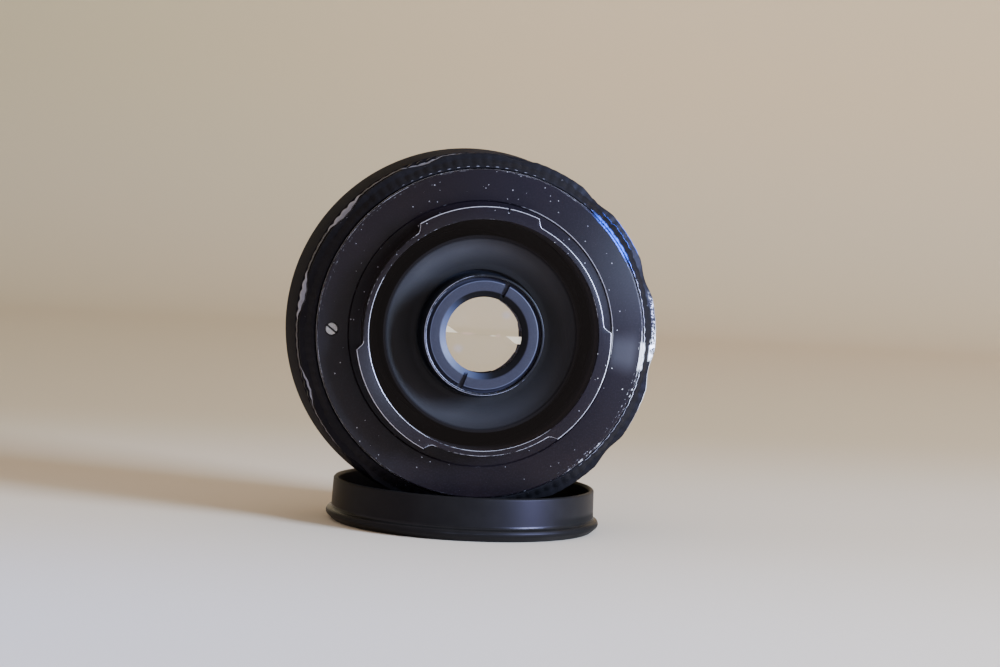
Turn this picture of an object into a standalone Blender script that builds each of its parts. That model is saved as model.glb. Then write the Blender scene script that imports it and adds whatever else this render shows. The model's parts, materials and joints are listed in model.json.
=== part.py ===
"""Enlarger lens resting in its round rear cap.

Modelled in metres, +Z up.  The origin is the centre of the cap's underside.
The lens stands on edge in the cap with its optical axis almost level: the
rear (mount side) faces -Y and the front faces +Y.  It leans LEAN degrees, so
that its top is tipped towards +Y.

Sizes are in millimetres and angles in degrees.  Every piece of the lens is
drawn in the lens's own frame: r is the distance from the optical axis and u,
the station, is the distance forward of the flange's rear face.  In that frame
x is to the right and y up as seen from the rear, and z = -u points rearwards.
"""

import bmesh
import bpy
from math import cos, pi, radians, sin
from mathutils import Matrix, Vector

# ---------------------------------------------------------------- shared dimensions
MM = 0.001

# pose of the lens in the cap
LEAN = 1.0
TURN = 3.3                      # roll of the lens about its own axis
LENS_CENTRE = (-0.3, -15.0, 37.25)  # centre of the flange's rear face

GAP = 0.3                       # clearance between separate pieces

# The front half has a scale of its own, on which the drum ends at
# FRONT_SCALE_END.  FRONT_SHIFT takes a station on that scale to u.
DRUM_FRONT = 26.2
FRONT_SCALE_END = 22.7
FRONT_SHIFT = DRUM_FRONT - FRONT_SCALE_END

# nested pieces, outer radii
TUBE_R = 22.2                   # tube of the bayonet mount
FIXED_TUBE_R = 24.2
CARRIER_R = 26.7
HELICOID_R = 29.8
FLANGE_R = 30.4
FLANGE_THICK = 2.0
BARREL_R = 16.1
BARREL_BORE_R = 13.6
IRIS_R = BARREL_BORE_R - GAP
FRONT_CELL_R = 10.9
REAR_GLASS_R = 10.4
FRONT_GLASS_R = 9.9

# screws and pins
SCREW_R = 0.5
SCREW_HOLE_R = SCREW_R + GAP
PIN_R = 0.35
PIN_HOLE_R = PIN_R + GAP
SLOT_MARGIN = 4.0               # degrees a slot runs past its pin's travel

# places shared by several pieces
STOP_SCREW_ANGLE = 177.5
KEY_ANGLE = 90.0                # guide key, on top of the fixed tube
KEY_U = 15.0 + FRONT_SHIFT
DRIVE_PIN_ANGLE = 74.0
DRIVE_PIN_R = 12.3
APERTURE_MIN = -6.0             # turn of the aperture ring from rest
APERTURE_MAX = 24.0

# facets round the circumference
N_LARGE = 52
N_MEDIUM = 36
N_SMALL = 26
N_IRIS_BASE = 40

for old in list(bpy.data.objects):
    bpy.data.objects.remove(old, do_unlink=True)

COLLECTION = bpy.context.scene.collection


# ---------------------------------------------------------------- materials
# finish: (base colour, roughness, metallic)
FINISHES = {
    "satin_black": ((0.022, 0.020, 0.026), 0.38, 0.55),
    "gloss_black": ((0.012, 0.012, 0.014), 0.25, 0.40),
    "matt_black": ((0.020, 0.020, 0.022), 0.75, 0.10),
    "blue_grey": ((0.085, 0.095, 0.155), 0.60, 0.30),
    "cap_plastic": ((0.016, 0.017, 0.020), 0.42, 0.00),
    "steel": ((0.62, 0.61, 0.58), 0.28, 1.00),
    "brass": ((0.68, 0.50, 0.22), 0.32, 1.00),
    "aluminium": ((0.60, 0.60, 0.60), 0.35, 1.00),
    "glass": ((0.86, 0.86, 0.84), 0.02, 0.00),
}
GLASS_IOR = 1.6


def material_for(name, finish):
    colour, roughness, metallic = FINISHES[finish]
    material = bpy.data.materials.new(name + "_material")
    material.use_nodes = True
    shader = material.node_tree.nodes["Principled BSDF"]
    shader.inputs["Base Color"].default_value = (*colour, 1.0)
    shader.inputs["Roughness"].default_value = roughness
    shader.inputs["Metallic"].default_value = metallic
    if finish == "glass":
        shader.inputs["Transmission Weight"].default_value = 1.0
        shader.inputs["IOR"].default_value = GLASS_IOR
    material.diffuse_color = (*colour, 1.0)
    return material


# ---------------------------------------------------------------- objects
def empty(name, parent=None, location=(0, 0, 0), rotation=(0, 0, 0)):
    item = bpy.data.objects.new(name, None)
    item.empty_display_size = 0.01
    item.location = location
    item.rotation_euler = rotation
    item.parent = parent
    COLLECTION.objects.link(item)
    return item


def object_from(name, shape, parent):
    """Turns a bmesh into a linked object, and frees it."""
    bmesh.ops.recalc_face_normals(shape, faces=shape.faces)
    mesh = bpy.data.meshes.new(name)
    shape.to_mesh(mesh)
    shape.free()
    item = bpy.data.objects.new(name, mesh)
    item.parent = parent
    COLLECTION.objects.link(item)
    return item


def add(name, shape, parent, finish):
    item = object_from(name, shape, parent)
    item.data.shade_smooth()
    item.data.set_sharp_from_angle(angle=radians(30))
    item.data.materials.append(material_for(name, finish))
    return item


def boolean(item, shape, operation="DIFFERENCE"):
    """Cuts item with the shape, or joins the shape to it, in their parent's frame."""
    tool = object_from(item.name + "_tool", shape, item.parent)
    tool.hide_render = True
    tool.display_type = "WIRE"
    cut = item.modifiers.new("cut", "BOOLEAN")
    cut.operation = operation
    cut.solver = "EXACT"
    cut.object = tool


# ---------------------------------------------------------------- shapes
def turned(profile, steps, axial=-1.0):
    """Spins (r, u) points round the axis.  A profile that starts and ends on
    the axis is a solid of revolution, any other is closed into a ring."""
    shape = bmesh.new()
    verts = [shape.verts.new((r * MM, 0, axial * u * MM)) for r, u in profile]
    edges = [shape.edges.new(pair) for pair in zip(verts, verts[1:])]
    if profile[0][0] > 0:
        edges.append(shape.edges.new((verts[-1], verts[0])))
    bmesh.ops.spin(
        shape, geom=verts + edges, cent=(0, 0, 0), axis=(0, 0, 1),
        dvec=(0, 0, 0), angle=2 * pi, steps=steps, use_merge=True,
    )
    bmesh.ops.remove_doubles(shape, verts=shape.verts, dist=1e-7)
    return shape


def collar(inner, outer, rear, front):
    """Profile of a plain ring."""
    return [(inner, rear), (outer, rear), (outer, front), (inner, front)]


def from_front_scale(profile):
    return [(r, u + FRONT_SHIFT) for r, u in profile]


def place(angle, radius, station):
    """Point of the lens frame, in metres."""
    return Vector((radius * cos(radians(angle)), radius * sin(radians(angle)), -station)) * MM


def turned_varying(profile_at, angles):
    """A ring whose (r, u) profile changes with the angle."""
    shape = bmesh.new()
    rows = [[shape.verts.new(place(angle, r, u)) for r, u in profile_at(angle)]
            for angle in angles]
    for row, following in zip(rows, rows[1:] + rows[:1]):
        for i in range(len(row)):
            j = (i + 1) % len(row)
            shape.faces.new((row[i], row[j], following[j], following[i]))
    bmesh.ops.remove_doubles(shape, verts=shape.verts, dist=1e-7)
    bmesh.ops.dissolve_degenerate(shape, edges=shape.edges, dist=1e-8)
    return shape


def put_cylinder(shape, centre, axis, radius, length, sides):
    tilt = Vector((0, 0, 1)).rotation_difference(Vector(axis)).to_matrix().to_4x4()
    bmesh.ops.create_cone(
        shape, cap_ends=True, segments=sides, radius1=radius * MM,
        radius2=radius * MM, depth=length * MM,
        matrix=Matrix.Translation(centre) @ tilt,
    )


def put_radial(shape, angle, station, inner, outer, radius):
    axis = (cos(radians(angle)), sin(radians(angle)), 0)
    centre = place(angle, (inner + outer) / 2, station)
    put_cylinder(shape, centre, axis, radius, outer - inner, sides=8)


def put_axial(shape, angle, offset, rear, front, radius, sides=8):
    centre = place(angle, offset, (rear + front) / 2)
    put_cylinder(shape, centre, (0, 0, 1), radius, front - rear, sides)


def put_prism(shape, outline, rear, front):
    """Extrudes a closed outline of (x, y) points forward."""
    base = [shape.verts.new((x * MM, y * MM, -rear * MM)) for x, y in outline]
    face = shape.faces.new(base)
    moved = bmesh.ops.extrude_face_region(shape, geom=[face])
    bmesh.ops.translate(
        shape, vec=(0, 0, (rear - front) * MM),
        verts=[part for part in moved["geom"] if isinstance(part, bmesh.types.BMVert)],
    )


def rotated(points, angle):
    cosine, sine = cos(radians(angle)), sin(radians(angle))
    return [(x * cosine - y * sine, x * sine + y * cosine) for x, y in points]


def rectangle(left, right, half_width):
    return [(left, -half_width), (right, -half_width), (right, half_width), (left, half_width)]


def arc_points(radius, start, end, steps):
    angles = [radians(start + (end - start) * k / steps) for k in range(steps + 1)]
    return [(radius * cos(angle), radius * sin(angle)) for angle in angles]


def sector(inner, outer, start, end, steps):
    return arc_points(inner, start, end, steps) + arc_points(outer, end, start, steps)


def put_box(shape, angle, inner, outer, width, rear, front):
    put_prism(shape, rotated(rectangle(inner, outer, width / 2), angle), rear, front)


def drill_radial(item, angles, station, inner, outer):
    """Screw holes through the wall of a ring."""
    holes = bmesh.new()
    for angle in angles:
        put_radial(holes, angle, station, inner, outer, SCREW_HOLE_R)
    boolean(item, holes)


def drill_axial(item, angles, offset, rear, front, radius=SCREW_HOLE_R):
    holes = bmesh.new()
    for angle in angles:
        put_axial(holes, angle, offset, rear, front, radius)
    boolean(item, holes)


def radial_screws(name, angles, station, inner, outer, parent):
    for k, angle in enumerate(angles, 1):
        screw = bmesh.new()
        put_radial(screw, angle, station, inner, outer, SCREW_R)
        add(f"{name}_{k}", screw, parent, "steel")


def axial_screws(name, angles, offset, rear, front, parent):
    for k, angle in enumerate(angles, 1):
        screw = bmesh.new()
        put_axial(screw, angle, offset, rear, front, SCREW_R)
        add(f"{name}_{k}", screw, parent, "steel")


# ---------------------------------------------------------------- moving frames
lens_axis = empty("lens_axis", location=[value * MM for value in LENS_CENTRE])
lens_axis.rotation_mode = "ZYX"
lens_axis.rotation_euler = (radians(90.0 - LEAN), 0, radians(TURN))
focus_axis = empty("focus_axis", lens_axis)
head_axis = empty("head_axis", lens_axis)
aperture_axis = empty("aperture_axis", head_axis)


# ---------------------------------------------------------------- rear cap
CAP_RIM_R = 24.8
CAP_BORE_R = 23.8
CAP_RIDGE_R = 26.0
CAP_HEIGHT = 8.0
CAP_FLOOR = 1.8
CAP_CHAMFER = 0.25

# (radius, height)
CAP_PROFILE = [
    (0.0, 0.0), (24.7, 0.0), (CAP_RIDGE_R, 0.9), (CAP_RIDGE_R, 2.1), (25.1, 2.4),
    (CAP_RIM_R, CAP_HEIGHT - CAP_CHAMFER), (CAP_RIM_R - CAP_CHAMFER, CAP_HEIGHT),
    (CAP_BORE_R, CAP_HEIGHT), (CAP_BORE_R - 0.2, CAP_FLOOR), (0.0, CAP_FLOOR),
]
add("lens_cap", turned(CAP_PROFILE, N_LARGE, axial=1.0), None, "cap_plastic")


# ---------------------------------------------------------------- bayonet mount
THROAT_R = 21.2
MOUNT_FRONT = 5.0
LUG_R = 23.55
LUG_FACE = -5.0
LUG_FRONT = LUG_FACE + 1.5
LUG_CENTRES = (92.0, 213.5, 332.8)
LUG_HALF = 29.0
LUG_END = 1.21                  # degrees over which a lug drops to the tube
LUG_STEPS = 10
BETWEEN_STEPS = 9
STEP_R = 24.6
STEP_DEPTH = 0.25
FLANGE_CHAMFER = 0.3
GRUB_ANGLES = (35.0, 155.0, 275.0)
GRUB_U = 3.5
STOP_SCREW_R = 1.1
STOP_SCREW_OFFSET = 27.6        # from the optical axis


def in_lug(angle):
    return any(abs((angle - c + 180) % 360 - 180) <= LUG_HALF for c in LUG_CENTRES)


def mount_profile(angle):
    rim = LUG_R if in_lug(angle) else TUBE_R
    return [
        (THROAT_R, LUG_FACE), (rim, LUG_FACE), (rim, LUG_FRONT),
        (TUBE_R, LUG_FRONT), (TUBE_R, STEP_DEPTH), (STEP_R, STEP_DEPTH),
        (STEP_R, 0.0), (FLANGE_R - FLANGE_CHAMFER, 0.0), (FLANGE_R, FLANGE_CHAMFER),
        (FLANGE_R, FLANGE_THICK), (TUBE_R, FLANGE_THICK),
        (TUBE_R, MOUNT_FRONT), (THROAT_R, MOUNT_FRONT),
    ]


def mount_angles():
    """Angles of the profiles: across each lug, at its ends and between lugs."""
    angles = []
    for centre, following in zip(LUG_CENTRES, LUG_CENTRES[1:] + (LUG_CENTRES[0] + 360,)):
        angles += [centre - LUG_HALF + 2 * LUG_HALF * k / LUG_STEPS
                   for k in range(LUG_STEPS + 1)]
        start = centre + LUG_HALF + LUG_END
        end = following - LUG_HALF - LUG_END
        angles += [start + (end - start) * k / BETWEEN_STEPS
                   for k in range(BETWEEN_STEPS + 1)]
    return sorted(angle % 360 for angle in angles)


bayonet = add("bayonet_mount", turned_varying(mount_profile, mount_angles()),
              lens_axis, "satin_black")
holes = bmesh.new()
for angle in GRUB_ANGLES:
    put_radial(holes, angle, GRUB_U, 20.6, 23.0, SCREW_HOLE_R)
put_axial(holes, STOP_SCREW_ANGLE, STOP_SCREW_OFFSET, -0.6, 2.6, STOP_SCREW_R + GAP, sides=14)
boolean(bayonet, holes)

# fixed tube, over the front of the mount
tube = add("fixed_tube", turned(
    collar(TUBE_R + GAP, FIXED_TUBE_R, FLANGE_THICK + GAP, 17.0 + FRONT_SHIFT), N_MEDIUM),
    lens_axis, "matt_black")
holes = bmesh.new()
for angle, station in [(angle, GRUB_U) for angle in GRUB_ANGLES] + [(KEY_ANGLE, KEY_U)]:
    put_radial(holes, angle, station, 21.8, 25.0, SCREW_HOLE_R)
boolean(tube, holes)
radial_screws("mount_grub_screw", GRUB_ANGLES, GRUB_U, 21.6, 24.1, lens_axis)

# ring retainer, with two notches in its front edge
retainer = add("ring_retainer", turned(collar(FIXED_TUBE_R + GAP, 29.4, 4.4, 6.0), N_MEDIUM),
               lens_axis, "matt_black")
notches = bmesh.new()
for angle in (0.0, 180.0):
    put_box(notches, angle, 28.2, 30.4, 1.6, 5.2, 6.6)
boolean(retainer, notches)

# guide key and its screw
KEY_WIDTH = 2.0
block = bmesh.new()
put_box(block, KEY_ANGLE, FIXED_TUBE_R + GAP, 26.3, KEY_WIDTH, KEY_U - 1.2, KEY_U + 1.3)
key = add("guide_key", block, lens_axis, "brass")
drill_radial(key, (KEY_ANGLE,), KEY_U, 23.9, 27.0)
screw = bmesh.new()
put_radial(screw, KEY_ANGLE, KEY_U, 22.7, 26.1, SCREW_R)
add("guide_key_screw", screw, lens_axis, "steel")

# stop screw: slotted head near flush with the flange, thin tail in the ring's groove
STOP_HEAD_U = 0.05
STOP_SLOT_TURN = -40.0
STOP_SLOT_DEPTH = 0.35
head = bmesh.new()
put_axial(head, STOP_SCREW_ANGLE, STOP_SCREW_OFFSET, STOP_HEAD_U, 2.0, STOP_SCREW_R, sides=14)
stop = add("focus_stop_screw", head, lens_axis, "steel")
centre = place(STOP_SCREW_ANGLE, STOP_SCREW_OFFSET, 0) / MM
half_length = STOP_SCREW_R * 1.6
slot_corners = rotated(
    rectangle(-half_length, half_length, STOP_SCREW_R * 0.22), STOP_SLOT_TURN)
slot = bmesh.new()
put_prism(slot, [(centre.x + x, centre.y + y) for x, y in slot_corners],
          STOP_HEAD_U - 0.5, STOP_HEAD_U + STOP_SLOT_DEPTH)
boolean(stop, slot)
tail = bmesh.new()
put_axial(tail, STOP_SCREW_ANGLE, STOP_SCREW_OFFSET, 1.6, 3.1, 0.6, sides=12)
boolean(stop, tail, "UNION")


# ---------------------------------------------------------------- focus ring
HILL_R = 33.4
VALLEY_R = 32.5
SCALLOPS = 12
SCALLOP_PITCH = 360.0 / SCALLOPS
FIRST_VALLEY = 17.4
VALLEY_HALF = 8.0               # degrees from a valley's centre to the hill top
VALLEY_SLOPE = 5.5              # degrees taken by its sloping side
BAND_R = 33.3
RING_FRONT = 10.9
RING_BORE_R = HELICOID_R + GAP
FOCUS_TURN = 200.0
HELICOID_SCREWS = (63.0, 183.0, 303.0)
HELICOID_SCREW_U = 9.8
DRUM_SCREWS = (33.0, 153.0, 273.0)
DRUM_SCREW_OFFSET = 31.7


def valley_depth(angle):
    """0 on a hill top, 1 on a valley floor, with sloping sides."""
    half_pitch = SCALLOP_PITCH / 2
    away = abs((angle - FIRST_VALLEY + half_pitch) % SCALLOP_PITCH - half_pitch)
    depth = min(max((VALLEY_HALF - away) / VALLEY_SLOPE, 0.0), 1.0)
    return depth * depth * (3 - 2 * depth)


def ring_profile(angle):
    rim = HILL_R + (VALLEY_R - HILL_R) * valley_depth(angle)
    return [
        (FLANGE_R + GAP, 1.0), (31.0, 1.0), (32.3, 2.6), (rim, 3.0), (rim, 8.4),
        (BAND_R, 8.8), (BAND_R, RING_FRONT), (RING_BORE_R, RING_FRONT), (RING_BORE_R, 4.0),
        (26.0, 4.0), (26.0, FLANGE_THICK + GAP), (FLANGE_R + GAP, FLANGE_THICK + GAP),
    ]


ring_angles = [
    FIRST_VALLEY + SCALLOP_PITCH * k + offset
    for k in range(SCALLOPS)
    for offset in (-VALLEY_HALF, -4.5, 0.0, 4.5, VALLEY_HALF, SCALLOP_PITCH / 2)
]
ring = add("focus_ring", turned_varying(ring_profile, ring_angles), focus_axis, "satin_black")
cuts = bmesh.new()
for angle in HELICOID_SCREWS:
    put_radial(cuts, angle, HELICOID_SCREW_U, 29.0, 34.5, SCREW_HOLE_R)
for angle in DRUM_SCREWS:
    put_axial(cuts, angle, DRUM_SCREW_OFFSET, 7.4, 11.6, SCREW_HOLE_R)
# groove for the stop screw's tail
put_prism(cuts, sector(26.7, 28.5, STOP_SCREW_ANGLE - FOCUS_TURN - SLOT_MARGIN,
                       STOP_SCREW_ANGLE + SLOT_MARGIN, steps=30), 1.8, 3.5)
boolean(ring, cuts)

# front drum, screwed to the front of the focus ring
DRUM_R = 34.6
DRUM_BORE_R = 33.2
DRUM_REAR = RING_FRONT + GAP
DRUM_CHAMFER = 0.6
drum = add("front_drum", turned([
    (RING_BORE_R, DRUM_REAR), (33.2, DRUM_REAR), (33.6, 11.6),
    (DRUM_R, DRUM_FRONT - DRUM_CHAMFER), (DRUM_R - DRUM_CHAMFER, DRUM_FRONT),
    (DRUM_BORE_R, DRUM_FRONT), (DRUM_BORE_R, 22.0), (32.7, 13.0), (RING_BORE_R, 13.0),
], N_LARGE), focus_axis, "satin_black")
drill_axial(drum, DRUM_SCREWS, DRUM_SCREW_OFFSET, 10.8, 13.4)

helicoid = add("focus_helicoid", turned(
    collar(CARRIER_R + GAP, HELICOID_R, 6.6, 19.0 + FRONT_SHIFT), N_MEDIUM),
    focus_axis, "brass")
drill_radial(helicoid, HELICOID_SCREWS, HELICOID_SCREW_U, 26.4, 30.4)
radial_screws("helicoid_set_screw", HELICOID_SCREWS, HELICOID_SCREW_U, 28.0, 32.9, focus_axis)
axial_screws("drum_screw", DRUM_SCREWS, DRUM_SCREW_OFFSET, 7.8, 13.7, focus_axis)


# ---------------------------------------------------------------- focusing head
PLATE_SCREWS = (0.0, 120.0, 240.0)
PLATE_SCREW_OFFSET = 25.5
DETENT_ANGLE = 200.0
DETENT_OFFSET = 18.0
BALL_R = 0.6

CARRIER_BORE_R = 24.6
carrier = add("helicoid_carrier", turned([
    (CARRIER_BORE_R, 6.5), (CARRIER_R, 6.5), *from_front_scale([
        (CARRIER_R, 20.0), (BARREL_R + GAP, 20.0),
        (BARREL_R + GAP, 18.5), (CARRIER_BORE_R, 18.5)]),
], N_MEDIUM), head_axis, "aluminium")
cuts = bmesh.new()
put_box(cuts, KEY_ANGLE, 23.8, 27.6, KEY_WIDTH + 2 * GAP, 5.8, KEY_U + 1.7)
for angle in PLATE_SCREWS:
    put_axial(cuts, angle, PLATE_SCREW_OFFSET, 18.0 + FRONT_SHIFT, 20.6 + FRONT_SHIFT,
              SCREW_HOLE_R)
put_axial(cuts, DETENT_ANGLE, DETENT_OFFSET, 18.9 + FRONT_SHIFT, 20.6 + FRONT_SHIFT,
          BALL_R + GAP, sides=12)
boolean(carrier, cuts)

NECK_R = FRONT_CELL_R + GAP     # bore of the barrel's inward rib
barrel = add("lens_barrel", turned([
    (BARREL_BORE_R, 4.2), (BARREL_R, 4.2), *from_front_scale([
        (BARREL_R, 20.3), (19.5, 20.3), (19.5, 21.3), (BARREL_BORE_R, 21.3),
        (BARREL_BORE_R, 17.0), (NECK_R, 17.0), (NECK_R, 15.4), (BARREL_BORE_R, 15.4)]),
], N_MEDIUM), head_axis, "matt_black")
cuts = bmesh.new()
# slot in the rib for the aperture drive pin
put_prism(cuts, sector(DRIVE_PIN_R - 0.7, DRIVE_PIN_R + 0.7,
                       DRIVE_PIN_ANGLE + APERTURE_MIN - SLOT_MARGIN,
                       DRIVE_PIN_ANGLE + APERTURE_MAX + SLOT_MARGIN, steps=6),
          14.9 + FRONT_SHIFT, 17.5 + FRONT_SHIFT)
put_axial(cuts, DETENT_ANGLE, DETENT_OFFSET, 19.9 + FRONT_SHIFT, 21.7 + FRONT_SHIFT,
          BALL_R + GAP, sides=12)
boolean(barrel, cuts)

add("barrel_lock_ring", turned(
    from_front_scale(collar(BARREL_R + GAP, 19.0, 16.9, 18.2)), N_SMALL), head_axis, "brass")

BAFFLE_R = 18.25
add("rear_baffle", turned([
    (17.6, -0.6), (BAFFLE_R, -0.6), (BAFFLE_R, 12.0), (BARREL_R + GAP, 12.0),
    (BARREL_R + GAP, 11.0), (17.4, 11.0), (17.4, 0.4), (11.9, 2.8), (11.9, 2.1),
], N_MEDIUM), head_axis, "blue_grey")

# rear cell and its retaining ring, which has two slots in its rear face
REAR_CELL_R = 11.06
REAR_CELL_BORE_R = REAR_GLASS_R + GAP
add("rear_cell", turned([
    (REAR_CELL_R, -4.9), (REAR_CELL_R, 3.1), (14.8, 3.1), (14.8, 3.9), (IRIS_R, 3.9),
    (IRIS_R, 8.0), (12.4, 8.0), (12.4, 5.2), (8.9, 5.2), (8.9, 4.2),
    (REAR_CELL_BORE_R, 4.2), (REAR_CELL_BORE_R, -4.9),
], N_MEDIUM), head_axis, "gloss_black")

rear_ring = add("rear_retaining_ring", turned(
    [(7.0, -4.0), (8.2, -4.6), (REAR_GLASS_R, -4.6), (REAR_GLASS_R, -3.7), (7.0, -3.7)],
    N_MEDIUM), head_axis, "blue_grey")
slots = bmesh.new()
for angle in (64.3, 244.3):
    put_box(slots, angle, 7.4, 11.2, 0.9, -5.2, -4.1)
boolean(rear_ring, slots)

front_cell = from_front_scale([
    (FRONT_CELL_R, 14.6), (FRONT_CELL_R, 22.9), (17.3, 22.9), (17.3, 25.4), (16.8, 25.9),
    (15.9, 25.9), (FRONT_GLASS_R + GAP, 23.4), (FRONT_GLASS_R + GAP, 15.4), (8.4, 15.4),
    (8.4, 14.6),
])
add("front_cell", turned(front_cell, N_MEDIUM), head_axis, "gloss_black")
add("element_spacer", turned(
    from_front_scale(collar(9.1, FRONT_GLASS_R, 18.0, 18.4)), N_SMALL),
    head_axis, "matt_black")
add("front_retaining_ring", turned(
    from_front_scale(collar(8.4, FRONT_GLASS_R, 21.0, 21.8)), N_SMALL),
    head_axis, "matt_black")

# front plate, screwed to the carrier
plate = add("front_plate", turned(from_front_scale(
    [(21.6, 20.3), (32.8, 20.3), (32.8, 21.6), (32.1, 22.3), (21.6, 22.3)]), N_LARGE),
    head_axis, "satin_black")
drill_axial(plate, PLATE_SCREWS, PLATE_SCREW_OFFSET, 19.9 + FRONT_SHIFT, 22.7 + FRONT_SHIFT)
axial_screws("front_plate_screw", PLATE_SCREWS, PLATE_SCREW_OFFSET,
             18.8 + FRONT_SHIFT, 22.3 + FRONT_SHIFT, head_axis)


# ---------------------------------------------------------------- glass
BULGE_RINGS = 3

# name: (rim radius, shift, then stations: rear rim, rear centre, front rim, front centre)
ELEMENTS = {
    "rear_element": (REAR_GLASS_R, 0.0, -2.9, -4.1, 0.4, 1.4),
    "rear_inner_element": (REAR_GLASS_R, 0.0, 0.7, 1.7, 3.9, 2.9),
    "middle_element": (FRONT_GLASS_R, FRONT_SHIFT, 15.7, 16.3, 17.7, 17.1),
    "front_element": (FRONT_GLASS_R, FRONT_SHIFT, 18.7, 18.3, 20.2, 21.8),
}


def bulge(rim_r, rim_u, centre_u):
    """Points of a lens surface from the axis out to its rim."""
    return [(rim_r * k / BULGE_RINGS, centre_u + (rim_u - centre_u) * (k / BULGE_RINGS) ** 2)
            for k in range(BULGE_RINGS + 1)]


for name, (rim_r, shift, *stations) in ELEMENTS.items():
    rear_rim, rear_centre, front_rim, front_centre = [u + shift for u in stations]
    rear = bulge(rim_r, rear_rim, rear_centre)
    front = bulge(rim_r, front_rim, front_centre)
    add(name, turned(rear + front[::-1], N_SMALL), head_axis, "glass")


# ---------------------------------------------------------------- click detent
def coil(radius, wire, rear, front, turns, around, sides):
    """A round-wire compression spring along the axis, with capped ends."""
    shape = bmesh.new()
    steps = int(turns * around)
    loops = []
    for k in range(steps + 1):
        angle = 2 * pi * turns * k / steps
        out = Vector((cos(angle), sin(angle), 0))
        centre = out * radius - Vector((0, 0, rear + (front - rear) * k / steps))
        loops.append([
            shape.verts.new((centre + out * wire * cos(2 * pi * j / sides)
                             + Vector((0, 0, wire * sin(2 * pi * j / sides)))) * MM)
            for j in range(sides)])
    for loop, following in zip(loops, loops[1:]):
        for i in range(sides):
            j = (i + 1) % sides
            shape.faces.new((loop[i], loop[j], following[j], following[i]))
    shape.faces.new(loops[0])
    shape.faces.new(loops[-1])
    return shape


ball = bmesh.new()
ball_centre = place(DETENT_ANGLE, DETENT_OFFSET, 20.72 + FRONT_SHIFT)
bmesh.ops.create_uvsphere(ball, u_segments=12, v_segments=8, radius=BALL_R * MM,
                          matrix=Matrix.Translation(ball_centre))
add("detent_ball", ball, head_axis, "steel")

spring = add("detent_spring", coil(
    radius=0.45, wire=0.09, rear=19.15 + FRONT_SHIFT, front=19.85 + FRONT_SHIFT,
    turns=2.5, around=10, sides=5), head_axis, "steel")
spring.location = (ball_centre.x, ball_centre.y, 0)


# ---------------------------------------------------------------- aperture ring and iris
BLADES = 8
BLADE_SPACING = 360.0 / BLADES
BLADE_THICK = 0.12
BLADE_PITCH = 0.33              # step forward from one blade to the next
BLADE_FIRST_U = 9.4
PIVOT_R = 12.0
DRIVE_OFFSET = 12.0             # degrees from pivot pin to drive pin
REST_BLADE = 5.74               # degrees closed from fully open, at rest
IRIS_RATIO = 0.9                # blade angle per angle of the aperture ring
CAM_SLOT_HALF_WIDTH = 0.62
CAM_SLOT_STEPS = 6

# drive pin as seen from the pivot pin of an open blade
DRIVE_CHORD = 2 * PIVOT_R * sin(radians(DRIVE_OFFSET / 2))
DRIVE_HEADING = 90 + DRIVE_OFFSET / 2

aperture = add("aperture_ring", turned(from_front_scale([
    (11.3, 21.6), (21.2, 21.6), (21.2, 25.7), (20.7, 26.2), (17.6, 26.2), (17.6, 22.6),
    (11.3, 22.6),
]), N_LARGE), aperture_axis, "satin_black")
drill_axial(aperture, (DRIVE_PIN_ANGLE,), DRIVE_PIN_R,
            21.2 + FRONT_SHIFT, 23.0 + FRONT_SHIFT, PIN_HOLE_R)

base_plate = add("iris_base_plate", turned(collar(9.0, IRIS_R, 8.3, 9.1), N_IRIS_BASE),
                 head_axis, "matt_black")
drill_axial(base_plate, [BLADE_SPACING * k for k in range(BLADES)], PIVOT_R, 8.0, 9.4,
            PIN_HOLE_R)


def pin_in_ring(turn):
    """Drive pin centre of the first blade, in the cam ring's own frame."""
    heading = radians(DRIVE_HEADING + REST_BLADE + IRIS_RATIO * turn)
    pin = (PIVOT_R + DRIVE_CHORD * cos(heading), DRIVE_CHORD * sin(heading))
    return Vector(rotated([pin], -turn)[0])


def cam_slot_outline():
    """Outline of the first blade's slot, along the path of its drive pin."""
    last = CAM_SLOT_STEPS
    path = [pin_in_ring(APERTURE_MIN + (APERTURE_MAX - APERTURE_MIN) * k / last)
            for k in range(last + 1)]
    left, right = [], []
    for k, point in enumerate(path):
        along = (path[min(k + 1, last)] - path[max(k - 1, 0)]).normalized()
        if k == 0:
            point = point - along * CAM_SLOT_HALF_WIDTH
        if k == last:
            point = point + along * CAM_SLOT_HALF_WIDTH
        across = Vector((-along.y, along.x)) * CAM_SLOT_HALF_WIDTH
        left.append(point + across)
        right.append(point - across)
    return left + right[::-1]


cam = add("iris_cam_ring", turned(collar(8.9, IRIS_R, 12.2, 13.0), N_MEDIUM),
          aperture_axis, "brass")
cuts = bmesh.new()
first_slot = cam_slot_outline()
for k in range(BLADES):
    put_prism(cuts, rotated(first_slot, BLADE_SPACING * k), 11.9, 13.3)
put_axial(cuts, DRIVE_PIN_ANGLE, DRIVE_PIN_R, 11.9, 13.3, PIN_HOLE_R)
boolean(cam, cuts)

pin = bmesh.new()
put_axial(pin, DRIVE_PIN_ANGLE, DRIVE_PIN_R, 12.3, 22.5 + FRONT_SHIFT, PIN_R)
add("aperture_drive_pin", pin, aperture_axis, "steel")

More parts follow.
